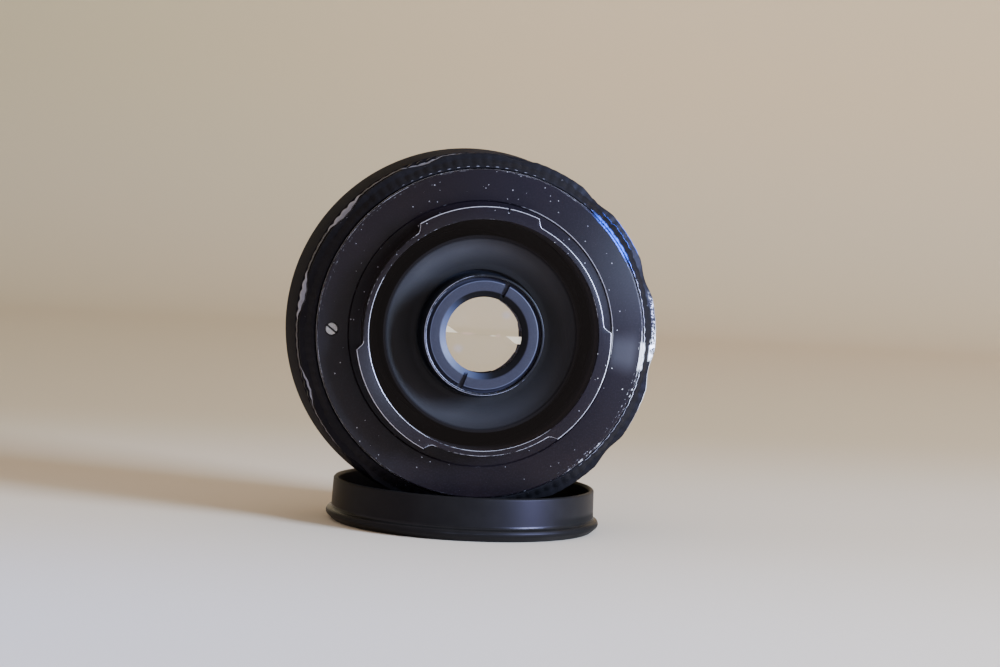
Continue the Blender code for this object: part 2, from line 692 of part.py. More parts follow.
# sickle blades: pivot pin back to the base plate, drive pin forward to the cam ring
PIVOT_PIN_REAR = 8.5
DRIVE_PIN_FRONT = 12.8
blade_outline = (
    arc_points(8.2, -5.0, 98.0, steps=12)       # bore
    + arc_points(11.0, 98.0, 22.0, steps=8)     # rim
    + arc_points(12.7, 18.0, -4.5, steps=3)     # wider end carrying the pins
)
for k in range(BLADES):
    angle = BLADE_SPACING * k
    pivot = empty(f"blade_pivot_{k + 1}", head_axis, place(angle, PIVOT_R, 0),
                  (0, 0, radians(angle + REST_BLADE)))
    level = BLADE_FIRST_U + BLADE_PITCH * k
    middle = level + BLADE_THICK / 2
    leaf = bmesh.new()
    put_prism(leaf, [(x - PIVOT_R, y) for x, y in blade_outline], level, level + BLADE_THICK)
    blade = add(f"iris_blade_{k + 1}", leaf, pivot, "matt_black")
    pins = bmesh.new()
    put_axial(pins, 0.0, 0.0, PIVOT_PIN_REAR, middle, PIN_R)
    put_axial(pins, DRIVE_HEADING, DRIVE_CHORD, middle, DRIVE_PIN_FRONT, PIN_R)
    boolean(blade, pins, "UNION")
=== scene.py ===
"""A camera lens with its rear towards the viewer, and its rear cap, on a pale table.

The lens is built about the axis of the focus_turn joint.  A place on it is given by r
(mm from the axis), an angle (from ACROSS towards RISE) and u (mm forward of the flange).
The cap is built flat on z = 0 about the origin, in mm.
"""
import json
from functools import cached_property
from math import cos, pi, radians, sin

import bmesh
import bpy
import numpy as np
from mathutils import Matrix, Vector


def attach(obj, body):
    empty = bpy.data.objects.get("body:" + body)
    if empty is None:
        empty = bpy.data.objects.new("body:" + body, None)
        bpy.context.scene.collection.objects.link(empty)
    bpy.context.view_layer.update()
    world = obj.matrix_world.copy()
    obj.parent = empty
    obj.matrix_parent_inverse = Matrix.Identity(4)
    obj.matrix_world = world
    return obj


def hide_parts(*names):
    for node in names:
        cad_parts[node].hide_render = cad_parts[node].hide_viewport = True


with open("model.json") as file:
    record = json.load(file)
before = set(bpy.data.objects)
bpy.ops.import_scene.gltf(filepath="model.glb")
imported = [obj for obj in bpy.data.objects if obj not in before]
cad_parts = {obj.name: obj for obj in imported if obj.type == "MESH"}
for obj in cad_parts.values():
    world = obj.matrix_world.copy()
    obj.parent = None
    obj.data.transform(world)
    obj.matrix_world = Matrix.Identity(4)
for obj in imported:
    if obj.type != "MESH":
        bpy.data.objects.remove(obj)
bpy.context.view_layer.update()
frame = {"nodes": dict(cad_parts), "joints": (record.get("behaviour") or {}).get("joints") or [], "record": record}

# ------------------------------------------------------------------ lens frame
MM = 0.001
FOCUS_JOINT = {joint["name"]: joint for joint in frame["joints"]}["focus_turn"]
FLANGE = Vector(FOCUS_JOINT["pos_m"])                  # flange centre
BACKWARD = Vector(FOCUS_JOINT["axis"]).normalized()
FORWARD = -BACKWARD
ROLL = radians(3.3)                                    # roll of the lens on its axis
LEVEL = Vector((1, 0, 0))
UPRIGHT = (FORWARD.cross(LEVEL) * -1.0).normalized()
ACROSS = LEVEL * cos(ROLL) + UPRIGHT * sin(ROLL)
RISE = UPRIGHT * cos(ROLL) - LEVEL * sin(ROLL)
HEAD_SHIFT = 3.5        # mm the front half of the head sits forward of its listed u
STOP_ANGLE, STOP_RADIUS = 177.5, 27.6                  # stop screw, degrees and mm


def lens_points(r, angle, u):
    """Arrays of r (mm), angle (radians) and u (mm) to points in metres."""
    return (np.array(FLANGE) + (r * np.cos(angle))[..., None] * np.array(ACROSS) * MM
            + (r * np.sin(angle))[..., None] * np.array(RISE) * MM
            + u[..., None] * np.array(FORWARD) * MM)


def outward(degrees):
    return ACROSS * cos(radians(degrees)) + RISE * sin(radians(degrees))


def lens_place(degrees, r, u):
    return FLANGE + outward(degrees) * r * MM + FORWARD * u * MM


def placed(x_axis, y_axis, z_axis, origin):
    """Matrix with the given axes and origin."""
    matrix = Matrix((x_axis, y_axis, z_axis)).transposed().to_4x4()
    matrix.translation = origin
    return matrix


def facing_rear(degrees, r, u):
    """Frame at a place on the lens, with x outward and z towards the rear."""
    angle = radians(degrees)
    side = -ACROSS * sin(angle) + RISE * cos(angle)
    return placed(outward(degrees), side, -FORWARD, lens_place(degrees, r, u))


# ------------------------------------------------------------------ angle tools
def even(count):
    return np.linspace(0, 2 * pi, count, endpoint=False)


def dense_angles(base, spots, span, count):
    """An even base of angles with count closer ones within span degrees of each spot."""
    angles = list(np.linspace(0, 360, base, endpoint=False))
    for spot in spots:
        angles = [a for a in angles if abs((a - spot + 180) % 360 - 180) > span]
        angles += list((spot + np.linspace(-span, span, count)) % 360)
    return np.radians(np.array(sorted(angles)))


def degrees_from(theta, centre):
    return (np.degrees(theta) - centre + 180.0) % 360.0 - 180.0


def smooth(t):
    t = np.clip(t, 0.0, 1.0)
    return t * t * (3 - 2 * t)


def patch(theta, centre, half, soft):
    """0 from half degrees off the centre outwards, 1 from soft degrees nearer in."""
    return smooth((half - np.abs(degrees_from(theta, centre))) / soft)


def hump(theta, centre, width):
    return np.exp(-(degrees_from(theta, centre) / width) ** 2)


def knurl(theta, teeth, steepness, phase=0.0):
    """1 on the teeth, 0 at the bottom of the grooves."""
    turn = ((np.degrees(theta) - phase) / (360.0 / teeth)) % 1.0
    return np.clip(np.abs(turn - 0.5) * 2.0 * steepness, 0, 1)


# ------------------------------------------------------------------ mesh tools
def link_mesh(name, mesh):
    obj = bpy.data.objects.new(name, mesh)
    bpy.context.scene.collection.objects.link(obj)
    return obj


def make_object(name, verts, faces, wear=None, smooth_angle=32.0):
    mesh = bpy.data.meshes.new(name)
    mesh.from_pydata([tuple(v) for v in verts], [], faces)
    if wear is not None:
        attribute = mesh.attributes.new("wear", "FLOAT", "POINT")
        attribute.data.foreach_set("value", np.asarray(wear, np.float32))
    bm = bmesh.new()
    bm.from_mesh(mesh)
    bmesh.ops.remove_doubles(bm, verts=bm.verts, dist=2e-7)
    bmesh.ops.dissolve_degenerate(bm, edges=bm.edges, dist=1e-7)
    bmesh.ops.recalc_face_normals(bm, faces=bm.faces)
    bm.to_mesh(mesh)
    bm.free()
    mesh.shade_smooth()
    mesh.set_sharp_from_angle(angle=radians(smooth_angle))
    return link_mesh(name, mesh)


def fillet(corners, steps):
    """Rows (r, u, wear) of a closed profile with rounded corners.

    A corner is (r, u, bevel, wear, whole).  r, u and wear may be arrays over the angle.
    Wear is 0 if left out, and shows at the bevel's two ends only if whole is given.
    """
    count = max(np.size(value) for corner in corners for value in corner)
    places = [np.stack([np.broadcast_to(corner[0], count),
                        np.broadcast_to(corner[1], count)], -1).astype(float)
              for corner in corners]
    rows = []
    for i, (_, _, bevel, *marks) in enumerate(corners):
        wear = np.broadcast_to(marks[0] if marks else 0.0, count)
        whole = len(marks) > 1
        corner = places[i]
        if bevel <= 0:
            rows.append((*corner.T, wear * whole))
            continue
        ends = []
        for neighbour in (places[i - 1], places[(i + 1) % len(places)]):
            edge = neighbour - corner
            length = np.maximum(np.linalg.norm(edge, axis=1, keepdims=True), 1e-9)
            ends.append(corner + edge / length * np.minimum(bevel, length * 0.48))
        start, end = ends
        for k in range(steps + 1):
            t = k / steps
            place = (1 - t) ** 2 * start + 2 * t * (1 - t) * corner + t ** 2 * end
            shown = whole or k not in (0, steps)
            rows.append((*place.T, wear * shown))
    return rows


def swept(corners, theta, steps=4):
    """The filleted profile as three grids, rows by angles: r, u and wear."""
    rows = fillet(corners, steps)
    return [np.stack([np.broadcast_to(row[k], len(theta)) for row in rows]) for k in range(3)]


def grid_faces(rows, columns, closed=False):
    """Quads of a grid that closes along its columns, and along its rows if closed."""
    i, j = np.meshgrid(np.arange(rows if closed else rows - 1), np.arange(columns),
                       indexing="ij")
    i2, j2 = (i + 1) % rows, (j + 1) % columns
    quads = [i * columns + j, i2 * columns + j, i2 * columns + j2, i * columns + j2]
    return np.stack(quads, -1).reshape(-1, 4).tolist()


def ring(name, corners, theta, steps=4, smooth_angle=32.0, shift=0.0):
    """A closed turned ring, moved forward by shift mm."""
    corners = [(corner[0], corner[1] + shift, *corner[2:]) for corner in corners]
    r, u, wear = swept(corners, theta, steps)
    verts = lens_points(r, np.broadcast_to(theta, r.shape), u).reshape(-1, 3)
    return make_object(name, verts, grid_faces(*r.shape, closed=True), wear.reshape(-1),
                       smooth_angle)


def lens_solid(name, rim, rear_rim, rear_mid, front_rim, front_mid, segments=96, rings=16):
    """Solid glass with two smooth faces and a ground edge.  rim is its radius; the
    others are u at the rim and the middle of each face."""
    k = np.linspace(0, 1, rings + 1)
    r = np.concatenate([rim * k, rim * k[::-1]])
    u = np.concatenate([rear_mid + (rear_rim - rear_mid) * k ** 2,
                        (front_mid + (front_rim - front_mid) * k ** 2)[::-1]])
    r = np.repeat(r[:, None], segments, 1)
    u = np.repeat(u[:, None], segments, 1)
    verts = lens_points(r, np.broadcast_to(even(segments), r.shape), u).reshape(-1, 3)
    return make_object(name, verts, grid_faces(*r.shape), smooth_angle=40.0)


def from_bmesh(name, bm):
    mesh = bpy.data.meshes.new(name)
    bm.to_mesh(mesh)
    bm.free()
    return link_mesh(name, mesh)


def evaluated_mesh(obj):
    bpy.context.view_layer.update()
    graph = bpy.context.evaluated_depsgraph_get()
    return bpy.data.meshes.new_from_object(obj.evaluated_get(graph))


def cut_away(obj, tool):
    """Cuts tool out of obj and removes the tool."""
    cut = obj.modifiers.new("cut", "BOOLEAN")
    cut.operation = "DIFFERENCE"
    cut.solver = "EXACT"
    cut.object = tool
    mesh = evaluated_mesh(obj)
    obj.modifiers.clear()
    obj.data = mesh
    bpy.data.objects.remove(tool)


# ------------------------------------------------------------------ node tools
class Value:
    """A node output.  It takes + - * / with outputs or numbers; | is the larger."""

    def __init__(self, graph, socket):
        self.graph = graph
        self.socket = socket

    def __add__(self, other):
        return self.graph.math("ADD", self, other)

    def __sub__(self, other):
        return self.graph.math("SUBTRACT", self, other)

    def __rsub__(self, other):
        return self.graph.math("SUBTRACT", other, self)

    def __mul__(self, other):
        return self.graph.math("MULTIPLY", self, other)

    def __truediv__(self, other):
        return self.graph.math("DIVIDE", self, other)

    def __or__(self, other):
        return self.graph.math("MAXIMUM", self, other)

    def output(self, key):
        """Another output of the same node."""
        return Value(self.graph, self.socket.node.outputs[key])

    def step(self, start, end):
        """Smooth rise from 0 at start to 1 at end."""
        return self.graph.value("ShaderNodeMapRange", "Result",
                                {"Value": self, "From Min": start, "From Max": end},
                                interpolation_type="SMOOTHSTEP", clamp=True)

    def band(self, centre, half, soft):
        """1 within half of the centre, falling to 0 over soft."""
        off = self.graph.math("ABSOLUTE", self - centre)
        return 1.0 - off.step(half, half + soft)


class Graph:
    """Node tree of a material or world."""

    def __init__(self, owner):
        self.owner = owner
        owner.use_nodes = True
        self.tree = owner.node_tree

    def put(self, socket, value):
        if isinstance(value, Value):
            self.tree.links.new(value.socket, socket)
        elif isinstance(value, tuple) and len(value) == 3 and socket.type == "RGBA":
            socket.default_value = (*value, 1.0)
        else:
            socket.default_value = value

    def value(self, kind, output, inputs=(), **props):
        """One output of a new node."""
        node = self.tree.nodes.new(kind)
        for key, prop in props.items():
            setattr(node, key, prop)
        for key, value in dict(inputs).items():
            self.put(node.inputs[key], value)
        return Value(self, node.outputs[output])

    def math(self, op, *terms):
        return self.value("ShaderNodeMath", 0, enumerate(terms), operation=op)

    def vector(self, op, *terms):
        output = "Value" if op in ("DOT_PRODUCT", "LENGTH") else "Vector"
        return self.value("ShaderNodeVectorMath", output, enumerate(terms), operation=op)

    def coords(self):
        return self.value("ShaderNodeTexCoord", "Object")

    def along(self, direction):
        """mm from the flange centre along a direction."""
        return self.vector("DOT_PRODUCT", self.offset, tuple(direction)) * 1000.0

    @cached_property
    def offset(self):
        return self.vector("SUBTRACT", self.coords(), tuple(FLANGE))

    @cached_property
    def across(self):
        return self.along(ACROSS)

    @cached_property
    def rise(self):
        return self.along(RISE)

    @cached_property
    def forward(self):
        return self.along(FORWARD)

    @cached_property
    def radius(self):
        return self.math("SQRT", self.across * self.across + self.rise * self.rise)

    @cached_property
    def angle(self):
        """Degrees, -180 to 180."""
        return self.math("ARCTAN2", self.rise, self.across) * (180.0 / pi)

    @cached_property
    def point(self):
        """Place in the lens frame, mm."""
        return self.value("ShaderNodeCombineXYZ", 0,
                          enumerate((self.across, self.rise, self.forward)))

    @cached_property
    def tangent(self):
        """Surface direction square to the way round the axis, for turned marks."""
        around = self.vector("CROSS_PRODUCT", tuple(FORWARD), self.offset)
        around = self.value("ShaderNodeVectorTransform", 0, {0: around},
                            vector_type="VECTOR", convert_from="OBJECT", convert_to="WORLD")
        normal = self.value("ShaderNodeNewGeometry", "Normal")
        return self.vector("NORMALIZE", self.vector("CROSS_PRODUCT", normal, around))

    def near(self, centre, half, soft):
        """1 within half degrees of centre, falling to 0 over soft degrees."""
        turned = self.math("FLOORED_MODULO", self.angle + (540.0 - centre), 360.0)
        off = self.math("ABSOLUTE", turned - 180.0)
        return 1.0 - off.step(half, half + soft)

    def noise(self, scale, detail=3.0, rough=0.55, vector=None):
        return self.value("ShaderNodeTexNoise", "Fac", {
            "Vector": vector or self.point, "Scale": scale, "Detail": detail,
            "Roughness": rough})

    def mix(self, factor, first, second):
        """Colour mix."""
        return self.value("ShaderNodeMix", 2, {"Factor": factor, 6: first, 7: second},
                          data_type="RGBA")

    def mix_number(self, factor, first, second):
        return self.value("ShaderNodeMix", 0, {0: factor, 2: first, 3: second},
                          data_type="FLOAT")

    def mix_shader(self, factor, first, second):
        return self.value("ShaderNodeMixShader", 0, enumerate((factor, first, second)))

    def wear(self):
        return self.value("ShaderNodeAttribute", "Fac", attribute_name="wear")

    def bump(self, height, strength, distance):
        """distance in metres."""
        return self.value("ShaderNodeBump", "Normal", {
            "Height": height, "Strength": strength, "Distance": distance})

    def finish(self, **values):
        """Sets the surface and returns the material."""
        names = dict(color="Base Color", rough="Roughness", metal="Metallic",
                     normal="Normal", aniso="Anisotropic", tangent="Tangent",
                     spec="Specular IOR Level", tint="Specular Tint", glow="Emission Color")
        surface = self.tree.nodes["Principled BSDF"]
        if "glow" in values:
            surface.inputs["Emission Strength"].default_value = 1.0
        for key, value in values.items():
            self.put(surface.inputs[names[key]], value)
        return self.owner


def new_graph(name):
    return Graph(bpy.data.materials.new(name))


def scaled(colour, factor):
    return tuple(c * factor for c in colour)


# ------------------------------------------------------------------ black finishes
# Each set of tones is: base, broad patches, fine clouding.
PURPLE = ((0.0074, 0.0050, 0.0070), (0.0104, 0.0062, 0.0084), (0.0190, 0.0145, 0.0205))
BLACK = ((0.0082, 0.0074, 0.0086), (0.0112, 0.0102, 0.0118), (0.0165, 0.0150, 0.0180))
DRUM = ((0.0068, 0.0064, 0.0116), (0.0082, 0.0077, 0.0136), (0.0108, 0.0102, 0.0168))
BLUE_BLACK = ((0.0040, 0.0046, 0.0075), (0.006, 0.007, 0.012), (0.010, 0.011, 0.018))
MATT = ((0.0052, 0.0046, 0.0044), (0.0068, 0.0058, 0.0052), (0.009, 0.0078, 0.007))
LINING = ((0.022, 0.0175, 0.0155), (0.027, 0.021, 0.018), (0.034, 0.027, 0.023))
DARK_BRASS = ((0.010, 0.0072, 0.005), (0.014, 0.0095, 0.006), (0.02, 0.014, 0.009))
SILVER = (0.78, 0.78, 0.80)
PAINTED_GLOW = (0.0098, 0.0082, 0.0082)       # painted glow standing in for stray light inside the lens


def chips(g, density, size, amount):
    """Small bright chips: cells whose random value is high, near their centre."""
    distance = g.value("ShaderNodeTexVoronoi", "Distance",
                       {"Vector": g.point, "Scale": density})
    chance = g.value("ShaderNodeSeparateColor", 0, {0: distance.output("Color")})
    picked = chance.step(start=1.0 - amount, end=1.0 - amount + 0.02)
    return picked * g.math("LESS_THAN", distance, chance.output(1) * size)


def painted_side_light(g, tone, blue):
    """Painted side light: warmer at upper left, bluer at upper right as the window lights it, and a painted
    highlight in one spot.
    """
    tone = g.mix(g.near(140.0, half=35.0, soft=50.0) * 0.55, tone, (0.0048, 0.0024, 0.0032))
    tone = g.mix(g.near(28.0, half=40.0, soft=55.0) * blue, tone, (0.0085, 0.0092, 0.0230))
    painted_highlight = (g.near(-8.0, half=1.5, soft=8.5)
              * g.radius.band(27.0, half=1.2, soft=2.2))
    return g.mix(painted_highlight * 0.8, tone, (0.062, 0.060, 0.076))


def black_metal(name, tones, rough, spec, speck, speck_density=2.2, speck_size=0.2,
                wear=1.0, turned=0.0, aniso=0.0, cloud=0.5, worn=SILVER, rubbed=None,
                cool=False, blue_side=0.0, glow=None, dry=None, tint=None):
    """Black anodised metal with bare metal showing where it is worn or chipped.

    speck is the share of chipped cells, turned the frequency of the lathe marks, and
    rubbed, glow and dry are functions that add worn places (some with painted highlights),
    a painted glow standing in for stray light, and dull places.  cool paints blue and
    white window reflections on the bare metal, and blue_side paints light on the sides.
    """
    g = new_graph(name)
    broad = g.noise(0.11, detail=4.0, rough=0.6)
    fine = g.noise(3.2, detail=4.0, rough=0.6)
    tone = g.mix(broad.step(start=0.35, end=0.7), tones[0], tones[1])
    tone = g.mix(fine.step(start=0.45, end=0.75) * cloud, tone, tones[2])
    # Painted light on the sides and a painted highlight.
    if blue_side:
        tone = painted_side_light(g, tone, blue_side)

    # Edge wear, broken up by noise.
    breakup = g.noise(1.15, detail=6.0, rough=0.72)
    edge_wear = g.wear()
    mask = (edge_wear * 1.25 + breakup * 0.9 - 0.95).step(start=0.0, end=0.22)
    mask = mask * edge_wear.step(start=0.02, end=0.12) * wear
    if rubbed:
        mask = mask | rubbed(g, breakup)
    mask = mask | chips(g, speck_density, speck_size, speck)
    mask = g.math("MINIMUM", mask, 1.0)

    bare = g.mix(g.noise(2.0), worn, scaled(worn, 0.72))
    # Painted reflections: cool paints the bare metal blue near 35 degrees beyond 28 mm and white near -12 degrees,
    # as the window lights it.
    if cool:
        blue = (g.near(35.0, half=9.0, soft=9.0)
                * g.radius.step(start=28.0, end=29.0))
        bare = g.mix(blue, bare, (0.045, 0.145, 0.88))
        bare = g.mix(g.near(-12.0, half=11.0, soft=5.0), bare, (0.95, 0.95, 0.98))

    height = fine
    if turned:
        wave = g.math("SINE", (g.radius + g.forward * 0.9) * turned)
        height = wave * 0.35 + fine * 0.8
    height = height - mask * 0.7
    values = dict(color=g.mix(mask, tone, bare),
                  rough=g.mix_number(mask, fine * 0.16 + (rough - 0.08), 0.42),
                  metal=mask * 0.35,
                  normal=g.bump(height, strength=0.22, distance=0.00003),
                  spec=g.mix_number(dry(g), spec, 0.0) if dry else spec)
    if aniso:
        values.update(aniso=aniso, tangent=g.tangent)
    if glow:
        values.update(glow=glow(g))
    if tint:
        values.update(tint=tint)
    return g.finish(**values)


def dull_crests(g):
    """The long outer faces of the focusing ring, dulled by handling."""
    run = (g.forward.step(start=3.12, end=3.3)
           * (1.0 - g.forward.step(start=8.34, end=8.42)))
    return run * g.radius.step(start=32.0, end=32.3)


def deep_glow(g):
    """Painted glow, standing in for stray light, that keeps the far inside from going fully black, with a brighter
    painted glow along one ring line.
    """
    far = ((1.0 - g.radius.step(start=21.25, end=21.35))
           * g.forward.step(start=-4.9, end=-4.0))
    ring_line = g.forward.band(-1.2, half=0.5, soft=0.8) * 0.35
    return g.mix(far, (0.0, 0.0, 0.0), g.mix(ring_line, PAINTED_GLOW, (0.020, 0.015, 0.013)))


# Painted glow all over a surface, standing in for stray light.
def painted_stray_glow(_):
    return PAINTED_GLOW


def flange_rubs_and_glints(g, breakup):
    """Places where handling has rubbed the flange rim bright, with a painted white highlight (white) and a painted
    blue reflection of the window (blue) on the rim.
    """
    # Painted white highlight and painted blue reflection; low, dirt, second and nicks are wear.
    white = (g.near(-8.5, half=3.8, soft=2.0)
             * (g.radius - breakup * 0.25).step(start=29.80, end=29.86))
    blue = (g.near(36.0, half=5.5, soft=5.0)
            * (g.radius - breakup * 0.7).step(start=29.68, end=29.80))
    blue = blue * g.noise(1.9, detail=4.0, rough=0.7).step(start=0.40, end=0.52)
    low = g.near(-51.0, half=7.0, soft=3.0) * (
        g.radius.step(start=30.0, end=30.1) * breakup.step(start=0.5, end=0.58))
    dirt = g.near(-24.0, half=7.0, soft=4.0) * (
        g.radius.step(start=29.95, end=30.1) * breakup.step(start=0.58, end=0.64))
    second = (g.radius.band(29.70, half=0.03, soft=0.05)
              * breakup.step(start=0.50, end=0.60))
    second = second * (g.near(140.0, half=22.0, soft=12.0) * 0.55
                       | g.near(-30.0, half=22.0, soft=12.0))
    second = second * g.noise(2.6).step(start=0.48, end=0.56)
    nicks = (g.radius.step(start=30.05, end=30.2)
             * g.noise(2.2, detail=4.0, rough=0.7).step(start=0.64, end=0.70))
    return (white | blue) | (low | dirt) | (second * 0.7 | nicks)


def grip_rubs_and_glints(g, breakup):
    """Rubbed tooth ends and one rubbed crest on the focusing ring; the tooth ends near -8.5 degrees are worn and
    carry a painted white highlight, those near 36 degrees a painted blue reflection.
    """
    rear = 1.0 - g.forward.step(start=1.05, end=1.35)
    mottle = g.noise(2.4, detail=5.0, rough=0.7)
    # Tooth ends: worn, with a painted white highlight near -8.5 degrees and a painted blue reflection near 36
    # degrees.
    ends = g.near(-8.5, half=4.2, soft=1.0) | (
        g.near(36.0, half=6.5, soft=5.0) * mottle.step(start=0.40, end=0.50))
    ends = ends * rear * breakup.step(start=0.30, end=0.42)
    crest = g.near(2.5, half=7.0, soft=5.0) * (
        g.radius.step(start=32.45, end=32.75) * mottle.step(start=0.50, end=0.58))
    crest = crest * (1.0 - g.forward.step(start=5.0, end=7.5))
    slope = g.near(-6.5, half=2.4, soft=2.0) * (
        g.radius.step(start=32.0, end=32.4) * breakup.step(start=0.42, end=0.50))
    return (ends | slope) | crest


# ------------------------------------------------------------------ other finishes
def retainer_material():
    """Blue-grey ring whose countersink is painted: a painted blue light on the left side and painted shade on the
    rest.
    """
    g = new_graph("retainer_finish_and_painted_light")
    fine = g.noise(4.0, detail=4.0, rough=0.6)
    soft = g.noise(0.5, detail=2.0)
    base = g.mix(fine.step(start=0.4, end=0.7), (0.0205, 0.0200, 0.0350),
                 (0.0260, 0.0255, 0.0440))
    base = g.mix(soft.step(start=0.45, end=0.65) * 0.4, base, (0.0165, 0.0170, 0.0330))
    # Painted light and painted shade in the countersink.
    sink = 1.0 - g.radius.step(start=8.02, end=8.22)
    lit = g.near(200.0, half=42.0, soft=45.0)
    base = g.mix(sink, base, g.mix(lit, (0.0060, 0.0055, 0.0065), (0.034, 0.046, 0.100)))
    lip = (g.radius.band(9.92, half=0.05, soft=0.08)
           * g.forward.step(start=-4.45, end=-4.6))
    base = g.mix(lip * 0.5, base, (0.11, 0.12, 0.19))
    height = g.math("SINE", g.radius * 24.0) * 0.4 + fine
    return g.finish(color=base, rough=fine * 0.15 + 0.42, metal=0.0,
                    spec=g.mix_number(sink, 0.30, g.mix_number(lit, 0.08, 0.36)),
                    normal=g.bump(height, strength=0.15, distance=0.00003))


def baffle_material():
    """Dark dish with painted light and shade: painted shade towards the cell, a painted sheen above and below the
    axis (stronger above), painted shade again at the brim, and a faint painted glow.
    """
    g = new_graph("baffle_finish_and_painted_light")
    soft = g.noise(0.16)
    fine = g.noise(5.0)
    # Painted shade towards the cell and a painted sheen above and below the axis.
    slope = g.radius.step(start=11.5, end=18.0)
    upright = g.math("ABSOLUTE", g.rise / g.radius).step(start=0.15, end=1.0)
    base = g.mix(slope, (0.0075, 0.0072, 0.0080), (0.0205, 0.0195, 0.0215))
    above = g.rise.step(start=-4.0, end=4.0)
    base = g.mix(upright * slope * 0.9, base,
                 g.mix(above, (0.0270, 0.0255, 0.0300), (0.0580, 0.0545, 0.0620)))
    base = g.mix(soft.step(start=0.4, end=0.7) * 0.25, base, (0.018, 0.018, 0.025))
    # Painted shade towards the brim.
    base = g.mix(g.radius.step(start=15.6, end=17.6) * 0.55, base, (0.010, 0.009, 0.010))
    brim = g.radius.step(start=17.3, end=17.9)
    base = g.mix(brim, base, (0.008, 0.007, 0.008))
    height = g.math("SINE", g.radius * 14.0) * 0.4 + fine
    # Faint painted glow, weaker inside the brim.
    glow = g.mix(g.radius.step(start=17.7, end=17.9), (0.0042, 0.0036, 0.0040), PAINTED_GLOW)
    return g.finish(color=base, rough=fine * 0.15 + 0.50, metal=0.0,
                    spec=g.mix_number(brim, 0.22, 0.0),
                    normal=g.bump(height, strength=0.15, distance=0.00003),
                    aniso=0.5, tangent=g.tangent, glow=glow)


def bare_metal(name, colour, stain, rough, turned):
    g = new_graph(name)
    cloud = g.noise(0.5, detail=4.0)
    fine = g.noise(7.0)
    wave = g.math("SINE", (g.radius + g.forward) * turned)
    tone = g.mix(cloud.step(start=0.5, end=0.75) * 0.45, colour, stain)
    return g.finish(color=tone, metal=1.0, rough=fine * 0.2 + (rough - 0.08),
                    normal=g.bump(wave + fine, strength=0.2, distance=0.00002),
                    aniso=0.5, tangent=g.tangent)


def blade_material():
    g = new_graph("blade_finish")
    fine = g.noise(4.0, detail=4.0, rough=0.6)
    arcs = g.math("SINE", g.radius * 16.0)
    tone = g.mix(fine.step(start=0.4, end=0.7), (0.030, 0.031, 0.036),
                 (0.050, 0.050, 0.056))
    return g.finish(color=tone, metal=0.65, rough=fine * 0.18 + 0.30,
                    normal=g.bump(arcs + fine, strength=0.12, distance=0.00002))


def cap_material():
    """Satin moulded black plastic: fine skin, level scuffs, rubbed edges."""
    g = new_graph("cap_finish")
    place = g.coords()
    x = g.value("ShaderNodeSeparateXYZ", 0, {0: place})
    z = x.output(2)
    place_mm = g.value("ShaderNodeVectorMath", "Vector", {0: place, "Scale": 1000.0},
                       operation="SCALE")
    skin = g.noise(9.0, rough=0.6, vector=place_mm)
    soft = g.noise(0.2, detail=4.0, rough=0.6, vector=place_mm)
    stretched = g.value("ShaderNodeMapping", 0, {0: place_mm, "Scale": (0.25, 0.25, 3.5)})
    scuff = g.noise(1.1, detail=5.0, rough=0.7, vector=stretched)
    rub = (g.wear() + scuff * 0.6).step(start=0.85, end=1.25) * 0.75
    base = g.mix(soft.step(start=0.35, end=0.7), (0.0096, 0.0088, 0.0086),
                 (0.0118, 0.0108, 0.0106))
    base = g.mix(scuff.step(start=0.58, end=0.8) * 0.35, base, (0.018, 0.018, 0.020))
    base = g.mix(rub, base, (0.078, 0.080, 0.102))
    # Glossier where the wall meets the foot, dull low down at the +x end.
    foot = (z * 1000.0).band(2.35, half=0.30, soft=0.25)
    rough = soft * 0.14 + skin * 0.08
    end = ((x * 1000.0).step(start=13.0, end=20.0)
           * (1.0 - (z * 1000.0).step(start=3.6, end=4.4)))
    # The violet-blue specular tint paints the window light's colour into the reflections.
    return g.finish(color=base, rough=rough + 0.30 - foot * 0.16, metal=0.0,
                    spec=g.mix_number(end, g.mix_number(foot, 0.10, 0.18), 0.015),
                    tint=(0.82, 0.74, 1.0),
                    normal=g.bump(skin + scuff * 0.5, strength=0.10, distance=0.00002))


def bent_view(g, clear):
    """Brings what is seen through the rear face closer, as a thick block would, and brightens it with a colour
    above one, a painted brightening.
    """
    axis = g.value("ShaderNodeVectorTransform", 0, {0: tuple(BACKWARD)},
                   vector_type="NORMAL", convert_from="OBJECT", convert_to="WORLD")
    bent = g.value("ShaderNodeBsdfRefraction", 0, {
        "IOR": 4.0, "Color": (1.36, 1.38, 1.42), "Roughness": 0.0, "Normal": axis})
    camera_ray = g.value("ShaderNodeLightPath", "Is Camera Ray")
    normal = g.value("ShaderNodeNewGeometry", "Normal")
    facing = g.vector("DOT_PRODUCT", normal, axis)
    seen = (camera_ray * (1.0 - normal.output("Backfacing"))
            * g.math("GREATER_THAN", facing, 0.5))
    return g.mix_shader(seen, clear, bent)


